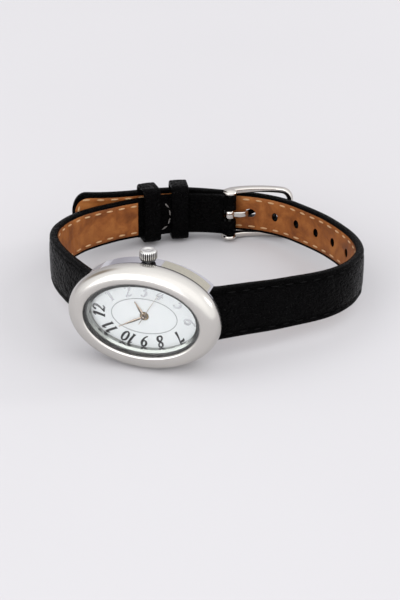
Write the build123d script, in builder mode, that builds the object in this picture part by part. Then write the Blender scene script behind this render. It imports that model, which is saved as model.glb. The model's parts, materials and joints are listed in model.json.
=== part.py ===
# Oval wristwatch with a buckled leather strap, standing on the nine o'clock side of its case
import os
from math import atan2, cos, degrees, hypot, pi, radians, sin

from build123d import *

# Case sizes in millimetres, depth counted from the front rim towards the wrist
bezel_length = 31.6
bezel_height = 22.2
bezel_front = -3.2
bezel_back = 0.4
opening_length = 24.2
opening_height = 15.7
pocket_length = 25.8
pocket_height = 17.3
pocket_front = -3.0
body_length = 30.6
body_height = 21.4
body_front = 0.7
neck_length = 29.6
neck_height = 20.4
body_back_centre = 4.1
body_back_end = 5.5
body_boss_front = -0.15
wall_edge_radius = 0.35
fit_gap = 0.05
seat_gap = 0.1

# Cavity for the movement and the lid that closes it
cavity_length = 18.8
cavity_height = 17.2
lid_seat_length = 20.0
lid_seat_height = 18.2
lid_seat_depth = 3.3
lid_thickness = 0.8
lid_plug_wall = 0.5
lid_gasket_width = 0.45
lid_gasket_height = 0.3

# Strap slots and spring bars
strap_width_lug = 11.5
strap_width_buckle = 9.3
slot_side_gap = 0.2
slot_start = 10.2
slot_front = 1.4
bar_reach = 11.8
bar_depth = 3.6
bar_radius = 0.6
bar_tip_radius = 0.35
bar_tip_reach = 6.35
bar_tip_root = 4.3
bar_tip_travel = 0.9
bar_end_gap = 0.15

# Dial side, front to back
crystal_length = 24.8
crystal_height = 16.3
crystal_front = -2.95
crystal_back = -2.15
crystal_edge = 0.12
flange_front = -2.1
flange_edge = -1.8
flange_back = -0.72
flange_top_length = 24.0
flange_top_height = 15.5
flange_bore_length = 22.1
flange_bore_height = 13.6
dial_front = -0.6
dial_back = -0.2
dial_bore_radius = 0.95
dial_foot_radius = 0.3
dial_foot_reach = 7.2
dial_foot_back = 0.8
inner_oval_length = 13.8
inner_oval_height = 7.7
inner_oval_width = 0.16
print_height = 0.03
numeral_height = 2.5
numeral_relief = 0.1
numeral_track_length = 18.9
numeral_track_height = 11.0
numeral_letter_gap = 0.14
numeral_weight = 1.25
numeral_slant = 0.16

# Hands, lengths from the hub
hour_hand_length = 3.6
hour_hand_width = 0.78
hour_hand_front = -0.86
hour_hand_hub = 0.9
minute_hand_length = 5.9
minute_hand_width = 0.66
minute_hand_front = -1.1
minute_hand_hub = 0.7
seconds_hand_length = 6.0
seconds_hand_width = 0.16
seconds_hand_front = -1.34
seconds_hand_hub = 0.34
seconds_hand_tail = 1.9
hand_thickness = 0.12
blade_root_share = 0.3
blade_tip_share = 0.12
blade_widest_share = 0.42
needle_widest_share = 0.1
shown_hour = 1
shown_minute = 55
shown_second = 20

# Movement, levels counted towards the wrist
plate_length = 17.2
plate_height = 14.8
plate_front = -0.15
plate_floor = 0.6
plate_back = 1.2
plate_wall = 0.8
holder_back = 3.15
bridge_front = 2.7
bridge_back = 3.0
bridge_radius = 0.9
screw_radius = 0.3
screw_head_radius = 0.5
screw_head_height = 0.2
screw_left = (-5.3, -0.6)
screw_right = (4.1, -0.6)
pivot_radius = 0.1
pivot_gap = 0.03
pivot_depth = 0.3
pivot_end_gap = 0.05
post_inset = 0.2

# Gear train, teeth and module of every mesh
seconds_teeth = 60
fifth_pinion_teeth = 12
seconds_module = 0.09
fifth_teeth = 36
rotor_teeth = 6
fifth_module = 0.09
third_teeth = 60
seconds_pinion_teeth = 8
third_module = 0.09
centre_teeth = 64
third_pinion_teeth = 8
centre_module = third_module * (third_teeth + seconds_pinion_teeth) / (centre_teeth + third_pinion_teeth)
minute_teeth = 36
cannon_teeth = 12
minute_module = 0.1
hour_teeth = 40
minute_pinion_teeth = 10
hour_module = minute_module * (minute_teeth + cannon_teeth) / (hour_teeth + minute_pinion_teeth)
third_direction = 229
fifth_direction = 305
rotor_direction = 350
minute_direction = 90
rotor_radius = 0.7
hour_pipe_radius = 0.78
cannon_radius = 0.55
cannon_nose_radius = 0.3
seconds_arbor_radius = 0.2
seconds_nose_radius = 0.12
hand_seat_gap = 0.06

# Front and back level of every wheel and pinion
hour_wheel_level = (0.08, 0.2)
minute_pinion_level = (0.06, 0.3)
cannon_pinion_level = (0.24, 0.48)
minute_wheel_level = (0.3, 0.42)
third_pinion_level = (1.28, 1.55)
centre_wheel_level = (1.35, 1.48)
centre_pipe_back = 1.5
seconds_pinion_level = (1.68, 1.95)
third_wheel_level = (1.75, 1.87)
fifth_pinion_level = (2.05, 2.3)
seconds_wheel_level = (2.1, 2.22)
seconds_shaft_back = 2.65
rotor_pinion_level = (2.35, 2.6)
fifth_wheel_level = (2.4, 2.52)
rotor_level = (1.3, 1.8)

# Coil, stator and electronics
coil_depth = 2.0
coil_drop = 6.1
coil_radius = 0.72
coil_half_length = 2.7
core_half_length = 3.7
core_width = 0.7
core_thickness = 0.4
stator_front = 1.3
stator_back = 1.6
stator_ring_radius = 1.45
stator_bore_radius = 0.85
stator_arm_width = 0.9
stator_knee_rise = 1.25
board_front = 1.3
board_back = 1.6
board_reach = 6.2
board_rise = 1.3
board_length = 2.5
board_height = 4.2
can_radius = 0.6
can_length = 3.4
battery_reach = -4.5
battery_rise = 2.75
battery_radius = 2.35
battery_front = 1.25
battery_back = 2.75
battery_rim_radius = 1.75
battery_rim_height = 0.15
contact_width = 1.2
contact_front = 2.85
contact_back = 3.0
contact_length = 3.4
contact_turn = 24

# Crown and setting parts, running up the three o'clock side
stem_depth = 2.3
stem_radius = 0.3
stem_bottom = 4.6
crown_base = 11.1
crown_height = 2.15
crown_radius = 1.8
crown_bore_radius = 1.1
crown_bore_height = 1.0
crown_flutes = 30
crown_flute_radius = 0.13
crown_edge = 0.3
tube_radius = 0.75
tube_bore_radius = 0.42
tube_bottom = 8.9
tube_top = 11.9
crown_gasket_width = 0.28
clutch_radius = 0.75
clutch_length = 1.0
clutch_bottom = 4.75
clutch_teeth = 10
lever_width = 0.5
lever_length = 2.4
lever_thickness = 0.3
stem_groove_length = 0.3
stem_groove_radius = 0.2
stem_groove_bottom = 6.05

# Strap layers, measured from the middle of the strap
leather_outside = 0.95
leather_inside = 0.0
core_inside = -0.35
lining_inside = -0.95
core_side_margin = 0.9
eye_radius = 1.45
eye_bore_radius = 0.75
lining_start = 1.7
closure_gap = 2.05
loop_reach = 37.5
loop_depth = 58.0
taper_start = 5.0
taper_end = 42.0
hole_length = 1.6
hole_width = 2.05
prong_hole_length = 2.6
hole_pitch = 6.3
prong_hole_position = 81.35
holes_towards_lug = 5
holes_towards_tail = 2
tail_round = 3.2
tail_rise = 1.9
tail_reach = 33.2
fold_start = 52.4
fold_end_gap = 1.7
buckle_notch = 2.6

# Buckle and keepers
buckle_pin_radius = 0.5
buckle_half_width = 6.0
rail_width = 1.2
rail_thickness = 1.7
lobe_radius = 1.6
end_bar_radius = 0.85
prong_width = 1.9
prong_shank_width = 1.3
prong_ring_radius = 1.05
prong_thickness = 0.7
keeper_wall = 1.0
keeper_width = 4.0
keeper_gap = 0.2
keeper_corner = 0.7
keeper_free_position = 55.7
keeper_fixed_position = 62.5
keeper_rise = 0.45
keeper_room = 0.9

# Dome of the bezel: breadth share from the opening outwards and depth share from the rim forwards
bezel_dome_shares = (
    (1.0, 0.0), (1.0, 0.2), (0.965, 0.45), (0.87, 0.69), (0.70, 0.87), (0.42, 0.975), (0.12, 1.0),
)

# Routes of the strap middle as shares of the loop reach and the loop depth
strap_12_shares = (
    (-0.3147, 0.062), (-0.512, 0.179), (-0.605, 0.243), (-0.672, 0.298), (-0.725, 0.359),
    (-0.749, 0.419), (-0.752, 0.469), (-0.736, 0.534), (-0.699, 0.602), (-0.645, 0.659),
    (-0.587, 0.707), (-0.525, 0.752), (-0.453, 0.795), (-0.373, 0.834), (-0.293, 0.871),
    (-0.224, 0.895), (-0.133, 0.917), (-0.027, 0.931), (0.069, 0.936),
)
strap_6_shares = (
    (0.3147, 0.062), (0.483, 0.143), (0.613, 0.202), (0.720, 0.259), (0.800, 0.303),
    (0.864, 0.345), (0.917, 0.395), (0.955, 0.452), (0.973, 0.510), (0.976, 0.569),
    (0.944, 0.640), (0.880, 0.716), (0.792, 0.784), (0.693, 0.845), (0.603, 0.888),
    (0.515, 0.924), (0.429, 0.955), (0.331, 0.977), (0.216, 0.988), (0.069, 0.982),
)
tail_shares = ((-0.576, 0.781), (-0.659, 0.750), (-0.744, 0.726), (-0.816, 0.712))
closure_shares = (0.91, 0.85, 0.79, 0.74, 0.695)
rail_outer_shares = (
    (0.040, 0.922), (0.080, 0.958), (0.147, 0.986), (0.240, 1.0085), (0.330, 1.0185), (0.412, 1.015),
)
prong_shares = ((0.095, 0.942), (0.150, 0.955), (0.203, 1.014), (0.280, 1.034), (0.430, 1.0385))

# Strokes of the numerals: along, up and breadth as shares of the numeral height
digit_strokes = {
    "0": (
        ((0.30, 0.98, 0.07), (0.10, 0.80, 0.13), (0.06, 0.48, 0.16), (0.12, 0.16, 0.12), (0.30, 0.02, 0.07)),
        ((0.22, 0.02, 0.07), (0.42, 0.20, 0.13), (0.48, 0.52, 0.16), (0.42, 0.84, 0.12), (0.22, 0.98, 0.07)),
    ),
    "1": (
        ((0.04, 0.76, 0.04), (0.16, 0.90, 0.08), (0.26, 0.98, 0.12)),
        ((0.27, 0.99, 0.13), (0.24, 0.50, 0.16), (0.19, 0.02, 0.12)),
        ((0.07, 0.03, 0.06), (0.20, 0.04, 0.07), (0.33, 0.03, 0.06)),
    ),
    "2": (
        ((0.08, 0.74, 0.12), (0.16, 0.93, 0.09), (0.34, 0.96, 0.12), (0.47, 0.78, 0.17), (0.38, 0.50, 0.12),
         (0.18, 0.22, 0.07), (0.03, 0.05, 0.06)),
        ((0.03, 0.06, 0.07), (0.22, 0.09, 0.15), (0.42, 0.04, 0.11), (0.55, 0.17, 0.05)),
    ),
    "3": (
        ((0.10, 0.80, 0.10), (0.24, 0.96, 0.08), (0.43, 0.84, 0.15), (0.38, 0.63, 0.11), (0.20, 0.53, 0.05)),
        ((0.20, 0.54, 0.05), (0.42, 0.48, 0.12), (0.47, 0.24, 0.17), (0.28, 0.03, 0.09), (0.07, 0.13, 0.11)),
    ),
    "4": (
        ((0.42, 0.98, 0.06), (0.22, 0.66, 0.07), (0.02, 0.30, 0.08)),
        ((0.01, 0.30, 0.08), (0.30, 0.31, 0.08), (0.58, 0.36, 0.06)),
        ((0.45, 0.70, 0.06), (0.39, 0.40, 0.15), (0.31, 0.02, 0.13)),
    ),
    "5": (
        ((0.53, 0.98, 0.05), (0.36, 0.92, 0.12), (0.18, 0.95, 0.06)),
        ((0.20, 0.97, 0.06), (0.17, 0.76, 0.06), (0.13, 0.55, 0.06)),
        ((0.12, 0.56, 0.05), (0.34, 0.61, 0.11), (0.47, 0.36, 0.17), (0.32, 0.07, 0.10), (0.06, 0.10, 0.10)),
    ),
    "6": (
        ((0.50, 0.95, 0.06), (0.26, 0.78, 0.10), (0.10, 0.42, 0.16), (0.14, 0.12, 0.12), (0.32, 0.02, 0.08)),
        ((0.24, 0.02, 0.08), (0.42, 0.12, 0.13), (0.46, 0.34, 0.15), (0.32, 0.53, 0.08), (0.12, 0.42, 0.06)),
    ),
    "7": (
        ((0.04, 0.80, 0.06), (0.14, 0.93, 0.14), (0.34, 0.88, 0.12), (0.54, 0.97, 0.06)),
        ((0.53, 0.97, 0.06), (0.34, 0.52, 0.09), (0.22, 0.02, 0.16)),
    ),
    "8": (
        ((0.34, 0.98, 0.07), (0.16, 0.90, 0.10), (0.14, 0.68, 0.12), (0.30, 0.52, 0.13), (0.46, 0.32, 0.15),
         (0.42, 0.08, 0.12), (0.22, 0.02, 0.07)),
        ((0.26, 0.98, 0.07), (0.45, 0.88, 0.09), (0.44, 0.68, 0.08), (0.28, 0.51, 0.09), (0.09, 0.30, 0.11),
         (0.12, 0.08, 0.11), (0.32, 0.02, 0.07)),
    ),
    "9": (
        ((0.04, 0.05, 0.06), (0.28, 0.22, 0.10), (0.44, 0.58, 0.16), (0.40, 0.88, 0.12), (0.22, 0.98, 0.08)),
        ((0.30, 0.98, 0.08), (0.12, 0.88, 0.13), (0.08, 0.66, 0.15), (0.22, 0.47, 0.08), (0.42, 0.58, 0.06)),
    ),
}
digit_breadth = {"0": 0.54, "1": 0.36, "2": 0.56, "3": 0.53, "4": 0.58, "5": 0.54, "6": 0.53, "7": 0.54,
                 "8": 0.54, "9": 0.53}
numeral_turns = (0, 40, 69, 90, 111, 140, 180, 220, 249, 270, 291, 320)


def facing(depth):
    # Plane that looks out of the dial, at a depth behind the front rim
    return Plane.XZ.offset(-depth)


def disc(radius, front, back, centre=(0, 0), mode=Mode.ADD):
    with BuildSketch(facing(back)) as profile:
        with Locations(centre):
            Circle(radius)
    extrude(profile.sketch, amount=back - front, mode=mode)


def oval(length, height, front, back, mode=Mode.ADD):
    with BuildSketch(facing(back)) as profile:
        Ellipse(length / 2, height / 2)
    extrude(profile.sketch, amount=back - front, mode=mode)


def gear(teeth, module, front, back, centre=(0, 0)):
    tip = module * (teeth / 2 + 0.85)
    root = module * (teeth / 2 - 1.1)
    outline = []
    for tooth in range(teeth):
        for share, radius in ((0, root), (0.24, root), (0.40, tip), (0.60, tip), (0.76, root)):
            turn = 2 * pi * (tooth + share) / teeth
            outline.append((radius * cos(turn), radius * sin(turn)))
    with BuildSketch(facing(back)) as profile:
        with Locations(centre):
            Polygon(*outline, align=None)
    extrude(profile.sketch, amount=back - front)


def polar(distance, direction):
    return (distance * cos(radians(direction)), distance * sin(radians(direction)))


def spaced(centre, distance, direction):
    along, up = polar(distance, direction)
    return (centre[0] + along, centre[1] + up)


def upright(along, depth, bottom, radius, height, mode=Mode.ADD):
    # Round post along the three o'clock direction
    with BuildSketch(Plane.XY.offset(bottom)) as profile:
        with Locations((along, depth)):
            Circle(radius)
    extrude(profile.sketch, amount=height, mode=mode)


def smooth(points, steps):
    # Rounded path through a few points, each with any number of values
    path = []
    padded = [points[0]] + list(points) + [points[-1]]
    for before, start, end, after in zip(padded, padded[1:], padded[2:], padded[3:]):
        for step in range(steps):
            t = step / steps
            path.append(tuple(
                s + t * (e - b) / 2 + t * t * (b - 2.5 * s + 2 * e - a / 2)
                + t ** 3 * (a - b + 3 * (s - e)) / 2
                for b, s, e, a in zip(before, start, end, after)))
    path.append(tuple(points[-1]))
    return path


def stroke_outline(stroke, size, along):
    path = smooth(stroke, 5)
    left, right = [], []
    for index, (x, y, breadth) in enumerate(path):
        back_x, back_y, _ = path[max(index - 1, 0)]
        next_x, next_y, _ = path[min(index + 1, len(path) - 1)]
        run = hypot(next_x - back_x, next_y - back_y)
        side_x = -(next_y - back_y) / run * breadth * numeral_weight / 2
        side_y = (next_x - back_x) / run * breadth * numeral_weight / 2
        x += numeral_slant * (y - 0.5)
        left.append(((x + side_x + along) * size, (y + side_y - 0.5) * size))
        right.append(((x - side_x + along) * size, (y - side_y - 0.5) * size))
    return left + right[::-1]


def placed(shares):
    return [(along * loop_reach, depth * loop_depth) for along, depth in shares]


def beside(route, start, end, offset, count=44, side=1):
    # Points along a stretch of a route, pushed sideways; side is 1 where the loop is on the left
    points = []
    for index in range(count + 1):
        position = (start + (end - start) * index / count) / route.length
        point, run = route @ position, route % position
        points.append((point.X + side * run.Y * offset, point.Y - side * run.X * offset))
    return points


def ribbon(route, start, end, inside, outside, half_width, side):
    outer = beside(route, start, end, outside, side=side)
    inner = beside(route, start, end, inside, side=side)
    with BuildSketch(Plane.XY) as profile:
        with BuildLine():
            Spline(*outer)
            Spline(*inner)
            Line(outer[0], inner[0])
            Line(outer[-1], inner[-1])
        make_face()
    extrude(profile.sketch, amount=half_width, both=True)


def taper(margin=0.0):
    # Trim a strap layer to the width that narrows from the lugs to the buckle
    lug = strap_width_lug / 2 - margin
    narrow = strap_width_buckle / 2 - margin
    far = loop_depth * 2
    with BuildSketch(Plane.YZ) as profile:
        Polygon((-far, -lug), (taper_start, -lug), (taper_end, -narrow), (far, -narrow),
                (far, narrow), (taper_end, narrow), (taper_start, lug), (-far, lug), align=None)
    extrude(profile.sketch, amount=loop_reach * 2, both=True, mode=Mode.INTERSECT)


def tail_climb(along):
    # Height of the tail's middle above the strap's, growing from the buckle pin to the tip
    return tail_rise * max(pin_x - along, 0) / tail_reach


def climb(margin=0.0):
    # Trim a layer of the six o'clock piece, narrowing to the buckle and climbing from there
    lug = strap_width_lug / 2 - margin
    narrow = strap_width_buckle / 2 - margin
    far = loop_depth * 2
    top = tail_rise * far / tail_reach
    with BuildPart(mode=Mode.PRIVATE) as trim:
        with BuildSketch(Plane.YZ.offset(pin_x)):
            Polygon((-far, -lug), (taper_start, -lug), (taper_end, -narrow), (far, -narrow),
                    (far, narrow), (taper_end, narrow), (taper_start, lug), (-far, lug), align=None)
        extrude(amount=far)
        with BuildSketch(Plane.XZ):
            Polygon((pin_x, -narrow), (pin_x, narrow), (pin_x - far, narrow + top),
                    (pin_x - far, top - narrow), align=None)
        extrude(amount=-far)
    add(trim.part, mode=Mode.INTERSECT)


# Middle lines of the two strap pieces
strap_12_points = placed(strap_12_shares)
strap_12_route = Spline(*strap_12_points)
pin_x, pin_y = strap_12_points[-1]
closure_points = []
for share in closure_shares:
    point, run = strap_12_route @ share, strap_12_route % share
    closure_points.append((point.X - run.Y * closure_gap, point.Y + run.X * closure_gap))
strap_6_points = placed(strap_6_shares) + closure_points + placed(tail_shares)
strap_6_route = Spline(*strap_6_points)
strap_12_side = -1
strap_6_side = 1

# Case body: oval band with an arched back, cavity, lid seat, strap slots and spring bar holes
with BuildPart() as case_body:
    oval(body_length, body_height, body_front, body_back_end)
    oval(neck_length, neck_height, bezel_back, body_front)
    oval(pocket_length - fit_gap, pocket_height - fit_gap, body_boss_front, bezel_back)
    with BuildSketch(Plane.XY):
        with BuildLine():
            ThreePointArc((-body_length / 2, body_back_end), (0, body_back_centre),
                          (body_length / 2, body_back_end))
            Polyline((body_length / 2, body_back_end), (body_length, body_back_end),
                     (body_length, loop_depth), (-body_length, loop_depth),
                     (-body_length, body_back_end), (-body_length / 2, body_back_end))
        make_face()
    extrude(amount=body_height, both=True, mode=Mode.SUBTRACT)
    oval(cavity_length, cavity_height, body_boss_front, body_back_end, mode=Mode.SUBTRACT)
    oval(lid_seat_length, lid_seat_height, lid_seat_depth, body_back_end, mode=Mode.SUBTRACT)
    for side in (-1, 1):
        with BuildSketch(Plane.XY):
            with Locations((side * (slot_start + body_length) / 2, (slot_front + loop_depth) / 2)):
                Rectangle(body_length - slot_start, loop_depth - slot_front)
        extrude(amount=strap_width_lug / 2 + slot_side_gap, both=True, mode=Mode.SUBTRACT)
        with BuildSketch(Plane.XY):
            with Locations((side * bar_reach, bar_depth)):
                Circle(bar_tip_radius + fit_gap)
        extrude(amount=bar_tip_reach + fit_gap, both=True, mode=Mode.SUBTRACT)
    with BuildSketch(Plane.XY.offset(cavity_height / 2 - wall_edge_radius)):
        with Locations((0, stem_depth)):
            Circle(tube_radius + fit_gap)
    extrude(amount=body_height, mode=Mode.SUBTRACT)

# Bezel: broad domed oval ring that carries the crystal
with BuildPart() as bezel:
    for breadth_share, depth_share in bezel_dome_shares:
        with BuildSketch(facing(bezel_back + (bezel_front - bezel_back) * depth_share)):
            Ellipse((opening_length + (bezel_length - opening_length) * breadth_share) / 2,
                    (opening_height + (bezel_height - opening_height) * breadth_share) / 2)
    loft()
    oval(opening_length, opening_height, bezel_front, bezel_back, mode=Mode.SUBTRACT)
    oval(pocket_length, pocket_height, pocket_front, bezel_back, mode=Mode.SUBTRACT)

# Flat crystal with a polished bevel, and the seal around it
with BuildPart() as crystal:
    oval(crystal_length, crystal_height, crystal_front, crystal_back)
    chamfer(crystal.faces().sort_by(Axis.Y)[0].edges(), length=crystal_edge)

with BuildPart() as crystal_gasket:
    oval(pocket_length - seat_gap, pocket_height - seat_gap, crystal_front, crystal_back)
    oval(crystal_length + seat_gap, crystal_height + seat_gap, crystal_front, crystal_back,
         mode=Mode.SUBTRACT)

# Ring between the crystal and the dial, sloping down to its bore
with BuildPart() as dial_flange:
    oval(pocket_length - seat_gap, pocket_height - seat_gap, flange_front, flange_back)
    oval(flange_bore_length, flange_bore_height, flange_edge, flange_back, mode=Mode.SUBTRACT)
    with BuildSketch(facing(flange_front)):
        Ellipse(flange_top_length / 2, flange_top_height / 2)
    with BuildSketch(facing(flange_edge)):
        Ellipse(flange_bore_length / 2, flange_bore_height / 2)
    loft(mode=Mode.SUBTRACT)

# Dial with its centre hole and two feet
with BuildPart() as dial_plate:
    oval(pocket_length - seat_gap, pocket_height - seat_gap, dial_front, dial_back)
    disc(dial_bore_radius, dial_front, dial_back, mode=Mode.SUBTRACT)
    for side in (-1, 1):
        disc(dial_foot_radius, dial_back, dial_foot_back, centre=(side * dial_foot_reach, 0))

# Fine oval line printed around the hands
with BuildPart() as dial_oval_line:
    oval(inner_oval_length, inner_oval_height, dial_front - print_height, dial_front)
    oval(inner_oval_length - 2 * inner_oval_width, inner_oval_height - 2 * inner_oval_width,
         dial_front - print_height, dial_front, mode=Mode.SUBTRACT)

# Applied numerals, each with its top turned outwards
with BuildPart() as hour_numerals:
    for hour, turn in enumerate(numeral_turns):
        text = str(hour) if hour else "12"
        along = -numeral_track_length / 2 * cos(radians(turn))
        up = numeral_track_height / 2 * sin(radians(turn))
        turn_out = degrees(atan2(up * numeral_track_length / numeral_track_height, along)) - 90
        breadth = sum(digit_breadth[digit] for digit in text) + numeral_letter_gap * (len(text) - 1)
        with BuildSketch(facing(dial_front)):
            with Locations(Location((along, up, 0), (0, 0, turn_out))):
                start = -breadth / 2
                for digit in text:
                    for stroke in digit_strokes[digit]:
                        Polygon(*stroke_outline(stroke, numeral_height, start), align=None)
                    start += digit_breadth[digit] + numeral_letter_gap
        extrude(amount=numeral_relief)


def hand_turn(share):
    # Sketch direction of a hand, clockwise from the left
    return 180 - 360 * share


def hand(length, width, tail, front, turn, hub_radius, bore_radius, widest):
    # Long slim blade with a hub; the outline is given along the blade
    root, tip = width * blade_root_share, width * blade_tip_share
    outline = ((-tail, root), (length * widest, width), (length, tip),
               (length, -tip), (length * widest, -width), (-tail, -root))
    with BuildSketch(facing(front + hand_thickness)) as profile:
        with Locations(Location((0, 0, 0), (0, 0, turn))):
            Polygon(*[(along, across / 2) for along, across in outline], align=None)
        Circle(hub_radius)
        Circle(bore_radius, mode=Mode.SUBTRACT)
    extrude(profile.sketch, amount=hand_thickness)


minute_share = (shown_minute + shown_second / 60) / 60
with BuildPart() as hour_hand:
    hand(hour_hand_length, hour_hand_width, 0, hour_hand_front, hand_turn((shown_hour + minute_share) / 12),
         hour_hand_hub, cannon_radius + pivot_gap, blade_widest_share)

with BuildPart() as minute_hand:
    hand(minute_hand_length, minute_hand_width, 0, minute_hand_front, hand_turn(minute_share),
         minute_hand_hub, cannon_nose_radius, blade_widest_share)

with BuildPart() as seconds_hand:
    hand(seconds_hand_length, seconds_hand_width, seconds_hand_tail, seconds_hand_front,
         hand_turn(shown_second / 60), seconds_hand_hub, seconds_nose_radius, needle_widest_share)

# Lid, its seal and the ring that holds the movement
with BuildPart() as case_back:
    lid_back = lid_seat_depth + lid_gasket_height + lid_thickness
    oval(lid_seat_length - seat_gap, lid_seat_height - seat_gap,
         lid_seat_depth + lid_gasket_height, lid_back)
    fillet(case_back.faces().sort_by(Axis.Y)[-1].edges(), radius=wall_edge_radius)
    oval(cavity_length - seat_gap, cavity_height - seat_gap, lid_seat_depth + fit_gap,
         lid_seat_depth + lid_gasket_height)
    oval(cavity_length - seat_gap - 2 * lid_plug_wall, cavity_height - seat_gap - 2 * lid_plug_wall,
         lid_seat_depth + fit_gap, lid_seat_depth + lid_gasket_height, mode=Mode.SUBTRACT)

with BuildPart() as case_back_gasket:
    oval(lid_seat_length - seat_gap, lid_seat_height - seat_gap, lid_seat_depth,
         lid_seat_depth + lid_gasket_height)
    oval(lid_seat_length - seat_gap - 2 * lid_gasket_width,
         lid_seat_height - seat_gap - 2 * lid_gasket_width,
         lid_seat_depth, lid_seat_depth + lid_gasket_height, mode=Mode.SUBTRACT)

with BuildPart() as movement_holder:
    oval(cavity_length - seat_gap, cavity_height - seat_gap, plate_front, holder_back)
    oval(plate_length + seat_gap, plate_height + seat_gap, plate_front, holder_back, mode=Mode.SUBTRACT)
    with BuildSketch(Plane.XY.offset(plate_height / 2 - plate_wall)):
        with Locations((0, stem_depth)):
            Circle(tube_radius + fit_gap)
    extrude(amount=cavity_height / 2, mode=Mode.SUBTRACT)

# Positions of the arbors
third_centre = polar(centre_module * (centre_teeth + third_pinion_teeth) / 2, third_direction)
fifth_centre = polar(seconds_module * (seconds_teeth + fifth_pinion_teeth) / 2, fifth_direction)
rotor_centre = spaced(fifth_centre, fifth_module * (fifth_teeth + rotor_teeth) / 2, rotor_direction)
minute_centre = polar(minute_module * (minute_teeth + cannon_teeth) / 2, minute_direction)

with BuildPart() as main_plate:
    oval(plate_length, plate_height, plate_front, plate_back)
    oval(plate_length - 2 * plate_wall, plate_height - 2 * plate_wall, plate_front, plate_floor,
         mode=Mode.SUBTRACT)
    disc(cannon_radius + pivot_gap, plate_front, plate_back, mode=Mode.SUBTRACT)
    for centre in (third_centre, fifth_centre, rotor_centre):
        disc(pivot_radius + pivot_gap, plate_front, plate_back, centre=centre, mode=Mode.SUBTRACT)
    disc(pivot_radius, plate_front + post_inset, plate_floor, centre=minute_centre)
    for side in (-1, 1):
        disc(dial_foot_radius + fit_gap, plate_front, plate_back, centre=(side * dial_foot_reach, 0),
             mode=Mode.SUBTRACT)

with BuildPart() as train_bridge:
    with BuildSketch(facing(bridge_back)):
        stations = ((0, 0), third_centre, fifth_centre, rotor_centre)
        for centre in stations + (screw_left, screw_right):
            with Locations(centre):
                Circle(bridge_radius)
        for start, end in ((third_centre, (0, 0)), ((0, 0), fifth_centre), (fifth_centre, rotor_centre),
                           (third_centre, screw_left), (rotor_centre, screw_right)):
            run = hypot(end[0] - start[0], end[1] - start[1])
            turn = degrees(atan2(end[1] - start[1], end[0] - start[0]))
            middle = ((start[0] + end[0]) / 2, (start[1] + end[1]) / 2)
            with Locations(Location((middle[0], middle[1], 0), (0, 0, turn))):
                Rectangle(run, 2 * bridge_radius * 0.9)
        for centre in stations:
            with Locations(centre):
                Circle(pivot_radius + pivot_gap, mode=Mode.SUBTRACT)
        for centre in (screw_left, screw_right):
            with Locations(centre):
                Circle(screw_radius + pivot_gap, mode=Mode.SUBTRACT)
    extrude(amount=bridge_back - bridge_front)
    for centre in (screw_left, screw_right):
        disc(bridge_radius * 0.7, plate_back, bridge_front, centre=centre)
        disc(screw_radius + pivot_gap, plate_back, bridge_back, centre=centre, mode=Mode.SUBTRACT)


def bridge_screw(centre):
    disc(screw_radius, plate_back, bridge_back, centre=centre)
    disc(screw_head_radius, bridge_back, bridge_back + screw_head_height, centre=centre)
    with BuildSketch(facing(bridge_back + screw_head_height)) as profile:
        with Locations(centre):
            Rectangle(screw_head_radius * 3, screw_radius * 0.5)
    extrude(profile.sketch, amount=screw_head_height / 2, mode=Mode.SUBTRACT)


with BuildPart() as bridge_screw_left:
    bridge_screw(screw_left)

with BuildPart() as bridge_screw_right:
    bridge_screw(screw_right)

# Going train, from the rotor to the hands
arbor_front = plate_back - pivot_depth
arbor_back = bridge_back - pivot_end_gap
with BuildPart() as rotor:
    disc(pivot_radius, arbor_front, arbor_back, centre=rotor_centre)
    disc(rotor_radius, *rotor_level, centre=rotor_centre)
    gear(rotor_teeth, fifth_module, *rotor_pinion_level, centre=rotor_centre)

with BuildPart() as fifth_wheel:
    disc(pivot_radius, arbor_front, arbor_back, centre=fifth_centre)
    gear(fifth_teeth, fifth_module, *fifth_wheel_level, centre=fifth_centre)
    gear(fifth_pinion_teeth, seconds_module, *fifth_pinion_level, centre=fifth_centre)

with BuildPart() as seconds_wheel:
    disc(seconds_arbor_radius, minute_hand_front - hand_seat_gap, seconds_shaft_back)
    disc(seconds_nose_radius, seconds_hand_front, minute_hand_front - hand_seat_gap)
    disc(pivot_radius, seconds_shaft_back, arbor_back)
    gear(seconds_teeth, seconds_module, *seconds_wheel_level)
    gear(seconds_pinion_teeth, third_module, *seconds_pinion_level)

with BuildPart() as third_wheel:
    disc(pivot_radius, arbor_front, arbor_back, centre=third_centre)
    gear(third_teeth, third_module, *third_wheel_level, centre=third_centre)
    gear(third_pinion_teeth, centre_module, *third_pinion_level, centre=third_centre)

with BuildPart() as centre_wheel:
    disc(cannon_nose_radius, minute_hand_front, hour_hand_front - hand_seat_gap)
    disc(cannon_radius, hour_hand_front - hand_seat_gap, centre_pipe_back)
    gear(centre_teeth, centre_module, *centre_wheel_level)
    gear(cannon_teeth, minute_module, *cannon_pinion_level)
    disc(seconds_arbor_radius + pivot_gap, minute_hand_front, centre_pipe_back, mode=Mode.SUBTRACT)

with BuildPart() as minute_wheel:
    gear(minute_teeth, minute_module, *minute_wheel_level, centre=minute_centre)
    gear(minute_pinion_teeth, hour_module, *minute_pinion_level, centre=minute_centre)
    disc(pivot_radius + pivot_gap, plate_front, plate_floor, centre=minute_centre, mode=Mode.SUBTRACT)

with BuildPart() as hour_wheel:
    disc(hour_pipe_radius, hour_hand_front + hand_thickness, hour_wheel_level[1])
    gear(hour_teeth, hour_module, *hour_wheel_level)
    disc(cannon_radius + pivot_gap, hour_hand_front + hand_thickness, hour_wheel_level[1],
         mode=Mode.SUBTRACT)

# Coil and stator that drive the rotor
with BuildPart() as coil_core:
    with BuildSketch(facing(coil_depth + core_thickness / 2)):
        with Locations((0, -coil_drop)):
            Rectangle(2 * core_half_length, core_width)
    extrude(amount=core_thickness)

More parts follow.
